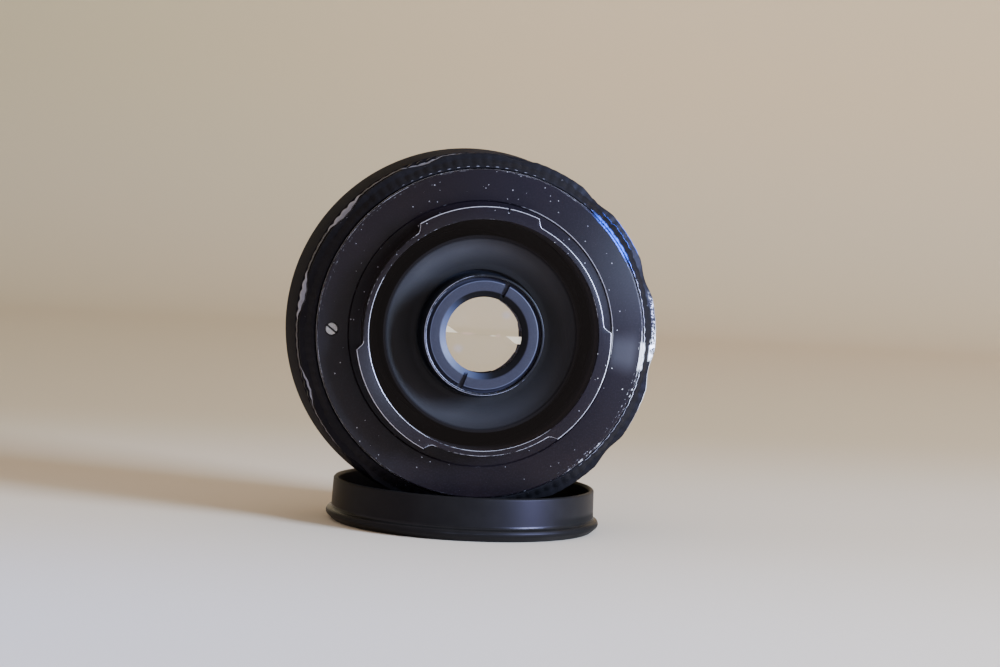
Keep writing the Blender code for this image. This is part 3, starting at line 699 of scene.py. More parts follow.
def glints(g, shader):
    """Painted reflections, drawn as glowing patches in the glass: two cream wedges that meet near
    the middle, a pink bead, two lilac ghosts and a faint dark line.  Sizes in mm, with the roll taken out."""
    x = g.across * cos(ROLL) + g.rise * -sin(ROLL)
    y = g.rise * cos(ROLL) + g.across * sin(ROLL)
    backfacing = g.value("ShaderNodeNewGeometry", "Backfacing")
    at_rear = g.math("LESS_THAN", g.forward, -2.0)

    def blob(centre, radii, soft):
        across = (x - centre[0]) / radii[0]
        up = (y - centre[1]) / radii[1]
        distance = g.math("SQRT", across * across + up * up)
        return 1.0 - distance.step(start=1.0 - soft, end=1.0)

    def wedge(side, top, bottom, start, end, lift):
        reach = (x * side).step(start, end)
        high = reach * top
        low = reach * bottom
        above = (high + lift - y).step(start=0.0, end=0.10)
        below = (y + (low - lift)).step(start=0.0, end=0.10)
        return above * below * reach.step(start=0.02, end=0.12)

    left = wedge(side=-1.0, top=1.45, bottom=0.0, start=4.2, end=7.4, lift=0.15)
    right = wedge(side=1.0, top=0.0, bottom=1.45, start=3.6, end=6.4, lift=0.02)
    tail = blob((-3.0, 0.12), radii=(1.5, 0.34), soft=0.5)
    streak = blob((1.7, -0.05), radii=(0.75, 0.17), soft=0.6)
    bead = blob((2.7, 0.0), radii=(0.55, 0.5), soft=0.5)
    lilac = (blob((4.0, 3.8), radii=(1.3, 1.1), soft=0.9)
             | blob((-4.6, -2.7), radii=(1.4, 1.2), soft=0.9))
    line = blob((-1.5, -0.02), radii=(5.0, 0.10), soft=0.6) * 0.16
    cream = g.math("MINIMUM", (left | right) * 0.85 + streak * 0.55, 1.0)
    pink = g.math("MINIMUM", tail * 0.45 + bead * 0.35, 1.0)
    # mask, colour, opacity
    for mask, colour, power in ((lilac, (0.66, 0.62, 0.80), 0.42),
                                (pink, (1.00, 0.70, 0.62), 0.95),
                                (cream, (1.35, 1.24, 1.04), 0.95),
                                (line, (0.22, 0.20, 0.18), 0.9)):
        lamp = g.value("ShaderNodeEmission", 0, {"Color": colour})
        shader = g.mix_shader(mask * power * at_rear * (1.0 - backfacing), shader, lamp)
    return shader


def glass_material(name, coat, gain, rear=False):
    """Coated glass, clear straight through.  coat is two tints; gain scales the sheen.
    The rear glass also bends and brightens the view and carries the painted glints."""
    g = new_graph(name)
    g.tree.nodes.remove(g.tree.nodes["Principled BSDF"])
    shader = g.value("ShaderNodeBsdfTransparent", 0, {0: (0.985, 0.985, 0.98)})
    if rear:
        shader = bent_view(g, shader)
    tints = g.noise(0.10, detail=1.0).step(start=0.4, end=0.6)
    gloss = g.value("ShaderNodeBsdfGlossy", 0, {
        "Roughness": 0.03, "Color": g.mix(tints, coat[0], coat[1])})
    fresnel = g.value("ShaderNodeFresnel", 0, {"IOR": 1.38})
    shader = g.mix_shader(fresnel * gain, shader, gloss)
    if rear:
        shader = glints(g, shader)
    g.put(g.tree.nodes["Material Output"].inputs["Surface"], shader)
    return g.owner


def paint_material(name, colour):
    g = new_graph(name)
    fine = g.noise(6.0)
    tone = g.mix(fine.step(start=0.45, end=0.75), colour, scaled(colour, 0.82))
    return g.finish(color=tone, rough=0.5,
                    normal=g.bump(fine, strength=0.15, distance=0.00002))


def screw_material():
    """Bright head with turned rings about its own centre, and a slot darkened with painted shade."""
    g = new_graph("screw_finish_and_painted_shade")
    centre = lens_place(STOP_ANGLE, STOP_RADIUS, 0.0)
    offset = g.vector("SUBTRACT", g.coords(), tuple(centre))
    radius = g.vector("LENGTH", offset) * 1000.0
    depth = g.vector("DOT_PRODUCT", offset, tuple(FORWARD)) * 1000.0
    rings = g.math("SINE", radius * 42.0)
    fine = g.noise(6.0)
    tone = g.mix(fine.step(start=0.4, end=0.75), (0.46, 0.44, 0.43), (0.30, 0.29, 0.28))
    # Painted shade in the slot.
    tone = g.mix(depth.step(start=0.20, end=0.32), tone, (0.03, 0.028, 0.026))
    return g.finish(color=tone, metal=0.75, rough=0.42,
                    normal=g.bump(rings + fine, strength=0.3, distance=0.00002))


FINISHES = {
    "bayonet": black_metal("bayonet_finish_and_painted_light", PURPLE, rough=0.36, spec=0.27, speck=0.085,
                           speck_density=2.0, speck_size=0.23, turned=26.0, aniso=0.75,
                           cloud=0.85, worn=(0.66, 0.64, 0.72), rubbed=flange_rubs_and_glints,
                           cool=True, blue_side=0.30, glow=deep_glow),
    # The grip's violet-blue specular tint paints the window light's colour into its reflections.
    "grip": black_metal("grip_finish_and_painted_glints", BLACK, rough=0.44, spec=0.07, speck=0.05,
                        speck_density=1.8, speck_size=0.15, worn=(0.42, 0.41, 0.48),
                        rubbed=grip_rubs_and_glints, cool=True, dry=dull_crests,
                        tint=(0.75, 0.72, 1.0)),
    "drum": black_metal("drum_finish", DRUM, rough=0.60, spec=0.018, speck=0.004,
                        speck_density=1.2, wear=0.8, turned=18.0),
    "plate": black_metal("plate_finish", PURPLE, rough=0.40, spec=0.4, speck=0.01,
                         speck_density=1.6, wear=0.8, turned=22.0, aniso=0.6),
    "cell": black_metal("cell_finish", BLUE_BLACK, rough=0.44, spec=0.34, speck=0.02,
                        wear=0.9, turned=30.0, aniso=0.5, worn=(0.56, 0.57, 0.78)),
    "matt": black_metal("matt_black_finish", MATT, rough=0.66, spec=0.15, speck=0.002,
                        wear=0.5, turned=9.0),
    # Lining and dark brass carry a painted glow all over, standing in for stray light.
    "lining": black_metal("lining_finish", LINING, rough=0.60, spec=0.3, speck=0.002,
                          wear=0.5, turned=9.0, glow=painted_stray_glow),
    "retainer": retainer_material(),
    "baffle": baffle_material(),
    "dark_brass": black_metal("dark_brass_finish", DARK_BRASS, rough=0.5, spec=0.2,
                              speck=0.004, wear=0.5, turned=16.0, glow=painted_stray_glow),
    "steel": bare_metal("steel_finish", (0.60, 0.58, 0.54), stain=(0.25, 0.22, 0.18),
                        rough=0.30, turned=30.0),
    "brass": bare_metal("brass_finish", (0.72, 0.50, 0.22), stain=(0.32, 0.20, 0.09),
                        rough=0.33, turned=24.0),
    "aluminium": bare_metal("aluminium_finish", (0.62, 0.62, 0.63),
                            stain=(0.36, 0.36, 0.37), rough=0.34, turned=20.0),
    "blade": blade_material(),
    "cap": cap_material(),
    "glass_rear": glass_material("glass_rear_coated_painted_light", gain=0.8, rear=True,
                                 coat=((0.85, 0.62, 0.80), (0.70, 0.72, 0.95))),
    "glass_in": glass_material("glass_inner", gain=0.5,
                               coat=((0.95, 0.85, 0.75), (0.85, 0.80, 0.95))),
    "glass_front": glass_material("glass_front_coated", gain=1.4,
                                  coat=((0.55, 0.45, 0.90), (0.85, 0.60, 0.75))),
    "paint": paint_material("scale_paint", (0.80, 0.80, 0.77)),
    "screw": screw_material(),
}


def dress(obj, finish):
    obj.data.materials.clear()
    obj.data.materials.append(FINISHES[finish])


def piece(obj, body, finish, node=None):
    """Gives obj its finish and body, and hides the CAD node it stands for."""
    dress(obj, finish)
    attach(obj, body)
    if node:
        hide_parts(node)


# ------------------------------------------------------------------ CAD nodes kept
SLOT_FINISH = {"satin_black": "plate", "gloss_black": "cell", "matt_black": "matt",
               "blue_grey": "retainer", "cap_plastic": "cap", "steel": "steel",
               "brass": "brass", "aluminium": "aluminium", "glass": "glass_in"}
NODE_FINISH = {"helicoid_carrier": "lining", "fixed_tube": "lining",
               "lens_barrel": "lining", "focus_helicoid": "lining",
               "barrel_lock_ring": "dark_brass"}
NODE_SLOT = {part["node"]: part["material_slot"] for part in frame["record"]["subparts"]}


def node_finish(name):
    if name in NODE_FINISH:
        return NODE_FINISH[name]
    if name.startswith("iris_blade"):
        return "blade"
    return SLOT_FINISH[NODE_SLOT[name]]


for node_name, cad_node in frame["nodes"].items():
    dress(cad_node, node_finish(node_name))

# ------------------------------------------------------------------ bayonet mount
LUG_ANGLES = (92.0, 213.5, 332.8)
LUG_FLANK = 29.4            # degrees from a lug's middle to its flank
NOTCH_ANGLE = 78.5
THROAT, TUBE = 21.2, 22.2   # inner and outer radius of the mount tube
LUG_HEIGHT, NOTCH_DEPTH = 1.35, 0.75
MOUNT_REAR, LUG_FRONT = -5.0, -3.5
MOUNT_RIM = 30.4
BORE_RADIUS, HEAD_RADIUS = 1.24, 1.1


def cylinder(segments, radius, depth, **place):
    """Capped cylinder as a bmesh, sizes in mm."""
    bm = bmesh.new()
    bmesh.ops.create_cone(bm, cap_ends=True, segments=segments, radius1=radius * MM,
                          radius2=radius * MM, depth=depth * MM, **place)
    return bm


def bayonet_mount():
    """Flange and tube with three lugs, one of them notched."""
    flanks = [centre + side * LUG_FLANK for centre in LUG_ANGLES for side in (-1, 1)]
    theta = dense_angles(540, flanks + [NOTCH_ANGLE], 3.2, 80)
    lug = np.zeros(len(theta))
    for centre in LUG_ANGLES:
        away = np.abs(degrees_from(theta, centre))
        lug = np.maximum(lug, np.clip((31.3 - away) / 3.6, 0.0, 1.0) ** 1.9)
    notch = patch(theta, NOTCH_ANGLE, half=0.55, soft=0.25)
    rim = TUBE + LUG_HEIGHT * lug - NOTCH_DEPTH * notch * lug

    def zone(start, end, soft=3.0):
        """1 between two angles, soft at both ends."""
        half = ((end - start) % 360.0) / 2.0
        return patch(theta, start + half, half + soft / 2, soft)

    ripple = 0.12 * np.sin(theta * 3.0 + 1.0) * np.sin(theta * 7.0)
    lug_wear = (0.44 + 0.40 * zone(-60, 3) + 0.22 * zone(-22, 2, 20) + 0.33 * zone(4, 66)
                + 0.30 * zone(62, 121) + 0.30 * zone(183, 246) + ripple)
    throat_wear = 0.36 + 0.38 * zone(150, 235, 30) + 0.16 * zone(236, 300, 20) + ripple
    # The humps at -8 and 35 degrees paint highlights of the window on the rim; the rest is wear.
    flange_wear_and_glints = np.clip(0.54 + 0.14 * np.sin(theta * 5.0 + 0.6) * np.sin(theta * 11.0)
                          + 0.12 * np.cos(theta - radians(150))
                          + 0.6 * hump(theta, -8, width=10)
                          + 0.6 * hump(theta, 35, width=11), 0.1, 1.0)
    # Wear on the step, raised from -8 to 68 degrees as a painted highlight.
    step_wear_and_highlight = 0.34 + 0.42 * zone(-8, 68, 16)
    mount = ring("bayonet_mount_body", [
        (THROAT, MOUNT_REAR, 0.13, throat_wear),
        (rim, MOUNT_REAR, 0.16, lug_wear),
        (rim, LUG_FRONT, 0.10, 0.35 * lug),
        # A hair's offset keeps this corner apart from the last where there is no lug.
        (TUBE - 0.001 * (1 - lug), LUG_FRONT + 0.002 * (1 - lug), 0.0),
        (TUBE, 0.28, 0.12),
        (24.45, 0.28, 0.08),
        (24.6, 0.0, 0.16, step_wear_and_highlight),
        (30.18, 0.0, 0.05, flange_wear_and_glints * 0.68),
        (MOUNT_RIM, 0.22, 0.05, flange_wear_and_glints),
        (MOUNT_RIM, 2.0, 0.08),
        (TUBE, 2.0, 0.10),
        (TUBE, 5.0, 0.10),
        (THROAT, 5.0, 0.10),
    ], theta)
    bore = cylinder(48, BORE_RADIUS, 4.0, matrix=facing_rear(STOP_ANGLE, STOP_RADIUS, 1.0))
    cut_away(mount, from_bmesh("stop_bore", bore))
    piece(mount, "mount", "bayonet", "bayonet_mount")


def stop_screw():
    """Slotted screw head in the flange, made upright and then put in place."""
    bm = cylinder(64, HEAD_RADIUS, 1.6)
    rim_edges = [edge for edge in bm.edges if edge.verts[0].co.z > 0
                 and any(len(face.verts) > 10 for face in edge.link_faces)]
    bmesh.ops.bevel(bm, geom=rim_edges, offset=0.12 * MM, segments=3, profile=0.5,
                    affect="EDGES")
    screw = from_bmesh("stop_screw_head", bm)
    bm = bmesh.new()
    bmesh.ops.create_cube(bm, size=1.0)
    for vert in bm.verts:
        x, y, z = vert.co
        vert.co = Vector((x * 4.0, y * 0.36, z * 0.9 + 0.8)) * MM
    cut_away(screw, from_bmesh("slot_tool", bm))
    slot_turn = Matrix.Rotation(radians(-40.0 - STOP_ANGLE), 4, "Z")
    screw.data.transform(facing_rear(STOP_ANGLE, STOP_RADIUS, 0.85) @ slot_turn)
    screw.data.shade_smooth()
    screw.data.set_sharp_from_angle(angle=radians(30))
    piece(screw, "mount", "screw", "focus_stop_screw")


bayonet_mount()
stop_screw()

# ------------------------------------------------------------------ focusing ring
TEETH = 108
SCOOP_ANGLE, SCOOP_PITCH = 17.4, 30.0         # first scoop and their spacing, degrees
HILL, VALLEY, BAND = 33.4, 32.5, 33.52        # radii of crests, scoops and front band
BORE = 30.1                                   # of the ring and the drum


def focusing_ring():
    """Knurled grip with twelve scoops and a knurled band at the front."""
    theta = even(TEETH * 10)
    half_pitch = SCOOP_PITCH / 2
    away = np.abs((np.degrees(theta) - SCOOP_ANGLE + half_pitch) % SCOOP_PITCH - half_pitch)
    scoop = VALLEY + (HILL + 0.12 - VALLEY) * smooth((away - 0.5) / 8.6)
    tooth = knurl(theta, TEETH, 1.35, SCOOP_ANGLE)
    groove = 1.0 - tooth
    hill = HILL - 0.045 * groove
    in_valley = smooth((10.5 - away) / 3.0)

    def bumps(spots, width):
        """Highest of several (centre, height) patches."""
        return np.max([height * patch(theta, centre, width, width * 0.35)
                       for centre, height in spots], axis=0)

    # Scoops whose front shoulder is toothed, and those toothed only low down.
    shoulder = bumps([(137.7, 1.0), (167.7, 0.95), (347.7, 0.55), (17.4, 0.35)], 9.6)
    shoulder_low = np.maximum(shoulder, bumps([(107.7, 1.0), (197.5, 0.9)], 6.0))
    toothed = shoulder_low * in_valley
    band = BAND - 0.10 * groove - 0.13 * groove * toothed
    front = np.minimum(hill, scoop) - 0.10 * groove * toothed
    rear = np.minimum(hill, scoop + 0.28 * smooth((9.0 - away) / 7.0))

    # Wear along the edges.  The blue glint line and the hill edge near 33 degrees also carry a painted blue
    # reflection, and the tooth glints are painted highlights on the tooth tips.
    hill_edge = bumps([(63, 0.30), (33, 0.95), (3, 0.95), (-17, 0.80), (-27, 0.55),
                       (242, 0.3)], 11.0)
    crest_line = 0.72 * patch(theta, 156.0, half=70.0, soft=12.0)
    foot = np.maximum(toothed, crest_line)
    top = np.maximum(shoulder * in_valley, crest_line * 0.5 * (1 - in_valley))
    blue_glint_line = 0.78 * patch(theta, 36.0, half=9.5, soft=3.0)
    silver_line = 0.95 * patch(theta, -17.5, half=10.5, soft=3.0)
    inner_line = 0.74 * patch(theta, -5.0, half=58.0, soft=16.0)
    tooth_glints = np.clip(1.05 * hump(theta, 92, width=30.0) + 0.62 * hump(theta, -36, width=26.0)
                   + 0.9 * hump(theta, 36, width=14.0), 0.0, 1.05)
    tip = np.clip((tooth - 0.86) / 0.14, 0, 1)
    cone_groove = 0.14 * groove
    grip = ring("focus_ring_grip", [
        (30.60, 1.0, 0.04),
        (30.90 - 0.12 * groove, 1.0, 0.06,
         np.maximum(tooth_glints * tip, inner_line * (0.62 + 0.38 * tooth))),
        (31.40 - cone_groove, 1.45, 0.05),
        (32.45 - cone_groove - 0.25 * in_valley, 2.62, 0.035, blue_glint_line),
        (rear, 3.05, 0.15, np.maximum(hill_edge * (1 - 0.6 * in_valley), silver_line)),
        (front, 8.45, 0.03, foot * 0.9),
        (front * 0.68 + band * 0.32, 8.54, 0.02, foot, True),
        (front * 0.25 + band * 0.75, 8.66, 0.02, top, True),
        (band, 8.78, 0.04, np.maximum(top, 0.1), True),
        (band, 10.6, 0.06, 0.25),
        (32.7, 10.9, 0.06),
        (BORE, 10.9, 0.10),
        (BORE, 4.0, 0.05),
        (26.0, 4.0, 0.05),
        (26.0, 2.3, 0.05),
        (30.60, 2.3, 0.0),
    ], theta, steps=3, smooth_angle=38.0)
    piece(grip, "focus_group", "grip", "focus_ring")


focusing_ring()

# Every profile from here on lists (r, u, bevel, wear) corners, in mm.
drum = ring("front_drum_shell", [
    (BORE, 11.2, 0.08), (33.2, 11.2, 0.06, 0.20), (33.6, 11.6, 0.15, 0.25),
    (34.6, 25.45, 0.15, 0.35), (34.2, 25.95, 0.12, 0.5), (34.0, 26.2, 0.10, 0.4),
    (33.2, 26.2, 0.08, 0.3), (33.2, 22.0, 0.2), (32.7, 13.0, 0.2), (BORE, 13.0, 0.05),
], even(360))
piece(drum, "focus_group", "drum", "front_drum")

# ------------------------------------------------------------------ rear optics
RETAINER_SLOTS = (64.3, 244.3)        # spanner slot angles
RETAINER_REAR, SLOT_DEPTH = -4.6, 0.75


def rear_baffle():
    dish = ring("rear_baffle_dish", [
        (17.75, -0.6, 0.08), (18.25, -0.6, 0.08), (18.25, 12.0, 0.1), (16.4, 12.0, 0.05),
        (16.4, 11.0, 0.0), (17.4, 11.0, 0.1), (17.4, 1.2, 0.2), (13.2, 2.95, 0.3),
        (11.9, 3.0, 0.05), (11.9, 2.35, 0.05, 0.2), (13.0, 2.25, 0.4), (16.2, 0.75, 1.2),
        (17.55, -0.25, 0.25),
    ], even(300))
    piece(dish, "lens_head", "baffle", "rear_baffle")


def rear_cell():
    theta = even(300)
    wear = np.clip(0.55 + 0.45 * np.cos(theta - radians(200)), 0.1, 1.0)
    cell = ring("rear_cell_body", [
        (11.06, -4.9, 0.12, wear), (11.06, 2.3, 0.15), (11.5, 3.1, 0.1), (14.8, 3.1, 0.1),
        (14.8, 3.9, 0.05), (13.3, 3.9, 0.05), (13.3, 8.0, 0.1), (12.4, 8.0, 0.05),
        (12.4, 5.2, 0.05), (8.9, 5.2, 0.1), (8.9, 4.2, 0.1), (10.7, 4.2, 0.05),
        (10.7, -4.9, 0.08, wear * 0.6),
    ], theta)
    piece(cell, "lens_head", "cell", "rear_cell")


def rear_retaining_ring():
    """Countersunk ring with two spanner slots."""
    theta = dense_angles(240, RETAINER_SLOTS, 3.2, 40)
    slotted = np.max([patch(theta, angle, half=2.6, soft=0.25)
                      for angle in RETAINER_SLOTS], axis=0)
    solid = 1 - slotted
    face = RETAINER_REAR + SLOT_DEPTH * slotted
    retainer = ring("rear_retaining_ring_body", [
        (7.0, -3.98, 0.05, 0.25), (7.6, -4.28, 0.30), (8.25, face + 0.02, 0.10, 0.25 * solid),
        (9.95, face, 0.10, 0.5 * solid), (10.25, face + 0.45 * solid, 0.05),
        (10.66, -4.0 + 0.15 * slotted, 0.04), (10.66, -3.7, 0.04), (7.0, -3.7, 0.04),
    ], theta)
    piece(retainer, "lens_head", "retainer", "rear_retaining_ring")


rear_baffle()
rear_cell()
rear_retaining_ring()

# object, node, finish, rim radius, shift, u of: rear rim, rear middle, front rim, front middle
GLASSES = (
    ("rear_glass", "rear_element", "glass_rear", 10.4, 0.0, (-2.9, -4.1, 0.4, 1.4)),
    ("rear_inner_glass", "rear_inner_element", "glass_in", 10.4, 0.0, (0.7, 1.7, 3.9, 2.9)),
    ("middle_glass", "middle_element", "glass_in", 9.9, HEAD_SHIFT, (15.7, 16.3, 17.7, 17.1)),
    ("front_glass", "front_element", "glass_front", 9.9, HEAD_SHIFT,
     (18.7, 18.3, 20.2, 21.8)),
)
for name, element, finish, rim_radius, shift, stations in GLASSES:
    glass = lens_solid(name, rim_radius, *[u + shift for u in stations])
    piece(glass, "lens_head", finish, element)

# ------------------------------------------------------------------ front of the head
APERTURE_TEETH = 120
PLATE_FRONT, APERTURE_FRONT = 22.3, 26.2      # u before the head shift


def front_cell():
    cell = ring("front_cell_body", [
        (10.9, 14.6, 0.08), (10.9, 22.9, 0.05), (17.3, 22.9, 0.1), (17.3, 25.3, 0.12, 0.35),
        (16.7, 25.9, 0.12, 0.5), (15.9, 25.9, 0.10, 0.35), (14.6, 25.15, 0.05),
        (14.3, 25.15, 0.05), (13.1, 24.45, 0.05), (12.8, 24.45, 0.05), (11.6, 23.75, 0.05),
        (11.3, 23.75, 0.05), (10.2, 23.1, 0.08, 0.2), (10.2, 15.4, 0.05), (8.4, 15.4, 0.05),
        (8.4, 14.6, 0.05),
    ], even(300), shift=HEAD_SHIFT)
    piece(cell, "lens_head", "cell", "front_cell")


def front_retaining_ring():
    retainer = ring("front_retaining_ring_body", [
        (8.4, 21.15, 0.05), (9.9, 21.0, 0.05), (9.9, 21.8, 0.06, 0.3), (8.8, 21.8, 0.06, 0.4),
        (8.4, 21.4, 0.05, 0.3),
    ], even(200), shift=HEAD_SHIFT)
    piece(retainer, "lens_head", "matt", "front_retaining_ring")


def front_plate():
    """Flat ring with two shallow grooves in its front face."""
    plate = ring("front_plate_body", [
        (21.6, 20.3, 0.1), (32.8, 20.3, 0.1), (32.8, 21.6, 0.12, 0.45),
        (32.1, PLATE_FRONT, 0.12, 0.5), (30.9, PLATE_FRONT, 0.04, 0.2), (30.75, 22.1, 0.03),
        (30.45, 22.1, 0.03), (30.3, PLATE_FRONT, 0.04, 0.2), (23.0, PLATE_FRONT, 0.04, 0.2),
        (22.85, 22.1, 0.03), (22.55, 22.1, 0.03), (22.4, PLATE_FRONT, 0.04, 0.2),
        (21.6, PLATE_FRONT, 0.1, 0.3),
    ], even(360), shift=HEAD_SHIFT)
    piece(plate, "lens_head", "plate", "front_plate")


def aperture_ring():
    theta = even(APERTURE_TEETH * 8)
    side = 21.2 - 0.28 * (1 - knurl(theta, APERTURE_TEETH, 1.3))
    aperture = ring("aperture_ring_grip", [
        (11.3, 21.6, 0.08), (20.8, 21.6, 0.08), (side, 22.1, 0.08, 0.3),
        (side, 24.1, 0.08, 0.3), (20.75, 24.35, 0.05), (20.75, 24.6, 0.05), (20.3, 25.6, 0.1),
        (19.9, APERTURE_FRONT, 0.15, 0.45), (17.9, APERTURE_FRONT, 0.1, 0.3),
        (17.6, 25.9, 0.1, 0.2), (17.6, 22.6, 0.08), (11.3, 22.6, 0.05),
    ], theta, steps=3, smooth_angle=38.0, shift=HEAD_SHIFT)
    piece(aperture, "aperture_group", "plate", "aperture_ring")


def lettering(name, text, angle, r, u, size, body):
    """A painted mark that faces the front, its top outwards."""
    curve = bpy.data.curves.new(name, "FONT")
    curve.body = text
    curve.size = size * MM
    curve.align_x = "CENTER"
    curve.align_y = "CENTER"
    curve.extrude = 0.02 * MM
    letters = link_mesh(name, curve)
    top = outward(angle)
    letters.matrix_world = placed(top.cross(FORWARD), top, FORWARD,
                                  lens_place(angle, r, u + 0.01))
    mesh = evaluated_mesh(letters)
    mesh.transform(letters.matrix_world)
    bpy.data.objects.remove(letters)
    piece(link_mesh(name, mesh), body, "paint")


front_cell()
front_retaining_ring()
front_plate()
aperture_ring()
for k, stop in enumerate(("4", "5.6", "8", "11", "16")):
    lettering(f"stop_mark_{k + 1}", stop, angle=105.0 - 7.5 * k, r=18.95,
              u=APERTURE_FRONT + HEAD_SHIFT, size=1.25, body="aperture_group")
lettering("index_mark", "|", angle=90.0, r=23.9, u=PLATE_FRONT + HEAD_SHIFT, size=1.4,
          body="lens_head")


# ------------------------------------------------------------------ rear cap
CAP_FLOOR = 1.8         # z of the inside of its floor


def rear_cap():
    """Shallow cup, open upwards, with two raised rings on its floor."""
    theta = even(420)
    wear = np.clip(0.5 + 0.4 * np.sin(theta * 3 + 0.4), 0.15, 0.9)
    r, z, wear = swept([    # r, z, bevel, wear
        (20.0, 0.0, 0.0), (23.6, 0.0, 0.0), (24.7, 0.0, 0.25, 0.2), (25.85, 1.05, 0.18, 0.3),
        (26.0, 1.55, 0.15, 0.7 * wear), (25.75, 2.1, 0.18, 0.25), (25.12, 2.35, 0.18),
        (24.95, 2.8, 0.15), (24.8, 7.75, 0.18, 0.5 * wear), (24.55, 8.0, 0.12, 0.7 * wear),
        (24.1, 8.0, 0.12, 0.45 * wear), (23.8, 7.6, 0.15), (23.7, 2.4, 0.3),
        (23.1, CAP_FLOOR, 0.3), (20.5, CAP_FLOOR, 0.1), (20.3, 2.0, 0.08, 0.1),
        (19.7, 2.0, 0.08, 0.1), (19.5, CAP_FLOOR, 0.1), (8.0, CAP_FLOOR, 0.1),
        (7.85, 1.95, 0.06, 0.1), (7.5, 1.95, 0.06, 0.1), (7.35, CAP_FLOOR, 0.1),
        (2.0, CAP_FLOOR, 0.0),
    ], theta)
    angle = np.broadcast_to(theta, r.shape)
    verts = np.stack([r * np.cos(angle), r * np.sin(angle), z], -1).reshape(-1, 3) * MM
    rows, columns = r.shape
    faces = grid_faces(rows, columns)
    faces.append(tuple(range(columns)))
    faces.append(tuple((rows - 1) * columns + j for j in reversed(range(columns))))
    cap = make_object("rear_cap_body", verts, faces, wear.reshape(-1))
    piece(cap, "cap", "cap", "lens_cap")


rear_cap()

# ------------------------------------------------------------------ floor and backdrop
FLOOR_FRONT, FLOOR_END, BEND_RADIUS, WALL_TOP, HALF_WIDTH = -1.2, 0.6, 0.35, 2.4, 2.2  # m


def backdrop_material():
    """Pale paper, cooler at front left, that turns warm beyond the lens; its side-to-side and upward colour
    changes are painted light.
    """
    g = new_graph("backdrop_paper_and_painted_light")
    x = g.value("ShaderNodeSeparateXYZ", 0, {0: g.coords()})
    y = x.output(1) + x * -0.02
    near = 1.0 - y.step(start=-0.13, end=0.02)
    beyond = y.step(start=0.02, end=0.21)
    # Painted light: the change from cool at left to warm at right, and the warmer upper wall, stand in for how the
    # light falls on the paper.
    side = x.step(start=-0.30, end=0.26)
    high = x.output(2).step(start=0.03, end=0.13)
    # Each mix runs from left to right.
    warm = g.mix(high, g.mix(side, (0.510, 0.404, 0.252), (0.618, 0.466, 0.286)),
                 g.mix(side, (0.492, 0.392, 0.216), (0.668, 0.468, 0.256)))
    mottle = g.noise(1.5, vector=g.coords())
    far = g.mix(side, (0.735, 0.632, 0.512), (0.760, 0.622, 0.470))
    front = g.mix(side, (0.765, 0.775, 0.930), (0.970, 0.810, 0.610))
    colour = g.mix(beyond, g.mix(near, far, front), warm)
    colour = g.mix(mottle * 0.06, colour, (0.70, 0.64, 0.56))
    return g.finish(color=colour, rough=0.92, spec=0.15)


def backdrop():
    """Table that rolls up into a wall."""
    bend = np.linspace(0.05, pi / 2, 24)
    ys = np.concatenate([np.linspace(FLOOR_FRONT, FLOOR_END, 60),
                         FLOOR_END + BEND_RADIUS * np.sin(bend), [FLOOR_END + BEND_RADIUS]])
    zs = np.concatenate([np.zeros(60), BEND_RADIUS * (1 - np.cos(bend)), [WALL_TOP]])
    xs = np.linspace(-HALF_WIDTH, HALF_WIDTH, 50)
    verts = [(x, y, z) for y, z in zip(ys, zs) for x in xs]
    n = len(xs)
    faces = [(i * n + j, i * n + j + 1, (i + 1) * n + j + 1, (i + 1) * n + j)
             for i in range(len(ys) - 1) for j in range(n - 1)]
    mesh = bpy.data.meshes.new("backdrop")
    mesh.from_pydata(verts, [], faces)
    mesh.shade_smooth()
    obj = link_mesh("backdrop", mesh)
    mesh.materials.append(backdrop_material())


backdrop()


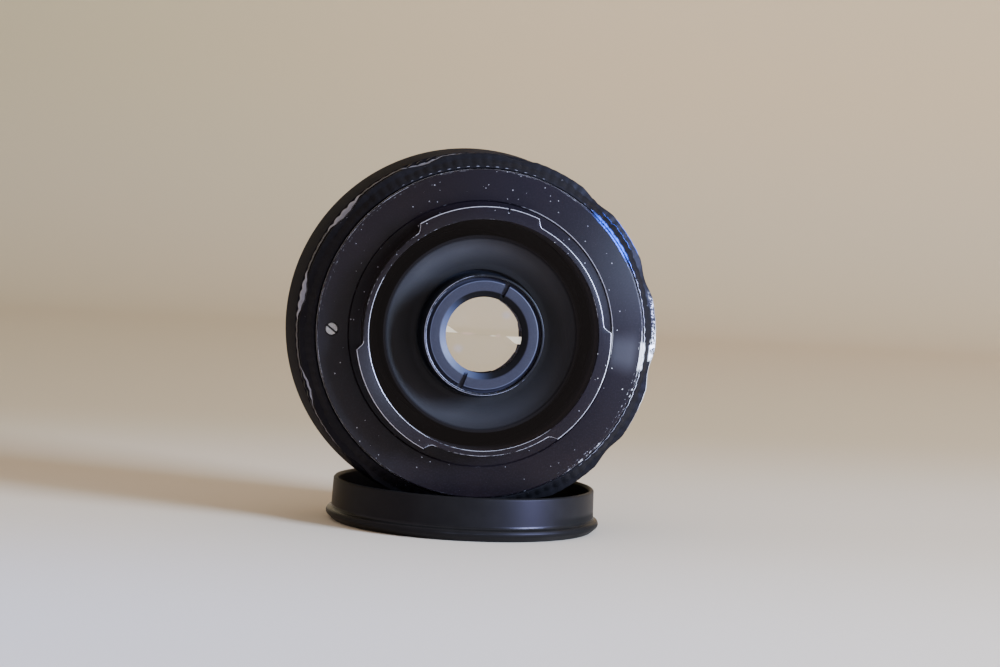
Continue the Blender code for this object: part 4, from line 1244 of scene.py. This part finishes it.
# ------------------------------------------------------------------ light
def sky():
    """Soft room light: warm overhead and in front, dimmer behind the camera."""
    studio = bpy.data.worlds.new("studio")
    bpy.context.scene.world = studio
    g = Graph(studio)
    direction = g.value("ShaderNodeTexCoord", "Generated")
    ahead = g.value("ShaderNodeSeparateXYZ", 1, {0: direction}).step(start=-0.95, end=-0.15)
    background = g.tree.nodes["Background"]
    g.put(background.inputs["Color"],
          g.mix(ahead, (0.42, 0.36, 0.33), (1.18, 1.08, 0.98)))
    background.inputs["Strength"].default_value = 0.68


def area(name, place, aim, size, power, colour, size_y=None):
    """Area light; place, aim and sizes in metres, power in watts."""
    data = bpy.data.lights.new(name, "AREA")
    data.energy = power
    data.color = colour
    data.size = size
    if size_y:
        data.shape = "RECTANGLE"
        data.size_y = size_y
    lamp = link_mesh(name, data)
    lamp.location = place
    lamp.rotation_mode = "QUATERNION"
    lamp.rotation_quaternion = (Vector(aim) - Vector(place)).to_track_quat("-Z", "Y")
    return lamp


sky()
area("window", place=(1.00, -0.72, 0.40), aim=(0, 0, 0.03), size=0.42, size_y=0.46,
     power=57.0, colour=(0.56, 0.72, 1.0))
sheen = area("window_sheen", place=(0.60, -0.42, 0.14), aim=(0, 0, 0.04), size=0.16,
             size_y=0.36, power=6.6, colour=(0.42, 0.38, 1.0))
sheen.visible_diffuse = False
room = area("room", place=(-0.5, -0.9, 0.9), aim=(0, 0, 0.03), size=1.1, power=2.0,
            colour=(1.0, 0.90, 0.80))
room.visible_glossy = False

# ------------------------------------------------------------------ camera
CAMERA_AIM = Vector((0.003218, -0.015, 0.037502))
CAMERA_DISTANCE = 0.500
AZIMUTH, ELEVATION, CAMERA_ROLL = radians(-7.895), radians(3.539), radians(3.306)


def add_camera():
    data = bpy.data.cameras.new("camera")
    data.lens = 97.51
    data.sensor_width = 36.0
    data.clip_start = 0.02
    data.clip_end = 10.0
    camera = link_mesh("camera", data)
    back = Vector((sin(AZIMUTH) * cos(ELEVATION), -cos(AZIMUTH) * cos(ELEVATION),
                   sin(ELEVATION)))
    right = (-back).cross(Vector((0, 0, 1))).normalized()
    up = right.cross(-back)
    camera.matrix_world = placed(right * cos(CAMERA_ROLL) + up * sin(CAMERA_ROLL),
                                 -right * sin(CAMERA_ROLL) + up * cos(CAMERA_ROLL),
                                 back, CAMERA_AIM + back * CAMERA_DISTANCE)
    bpy.context.scene.camera = camera


add_camera()
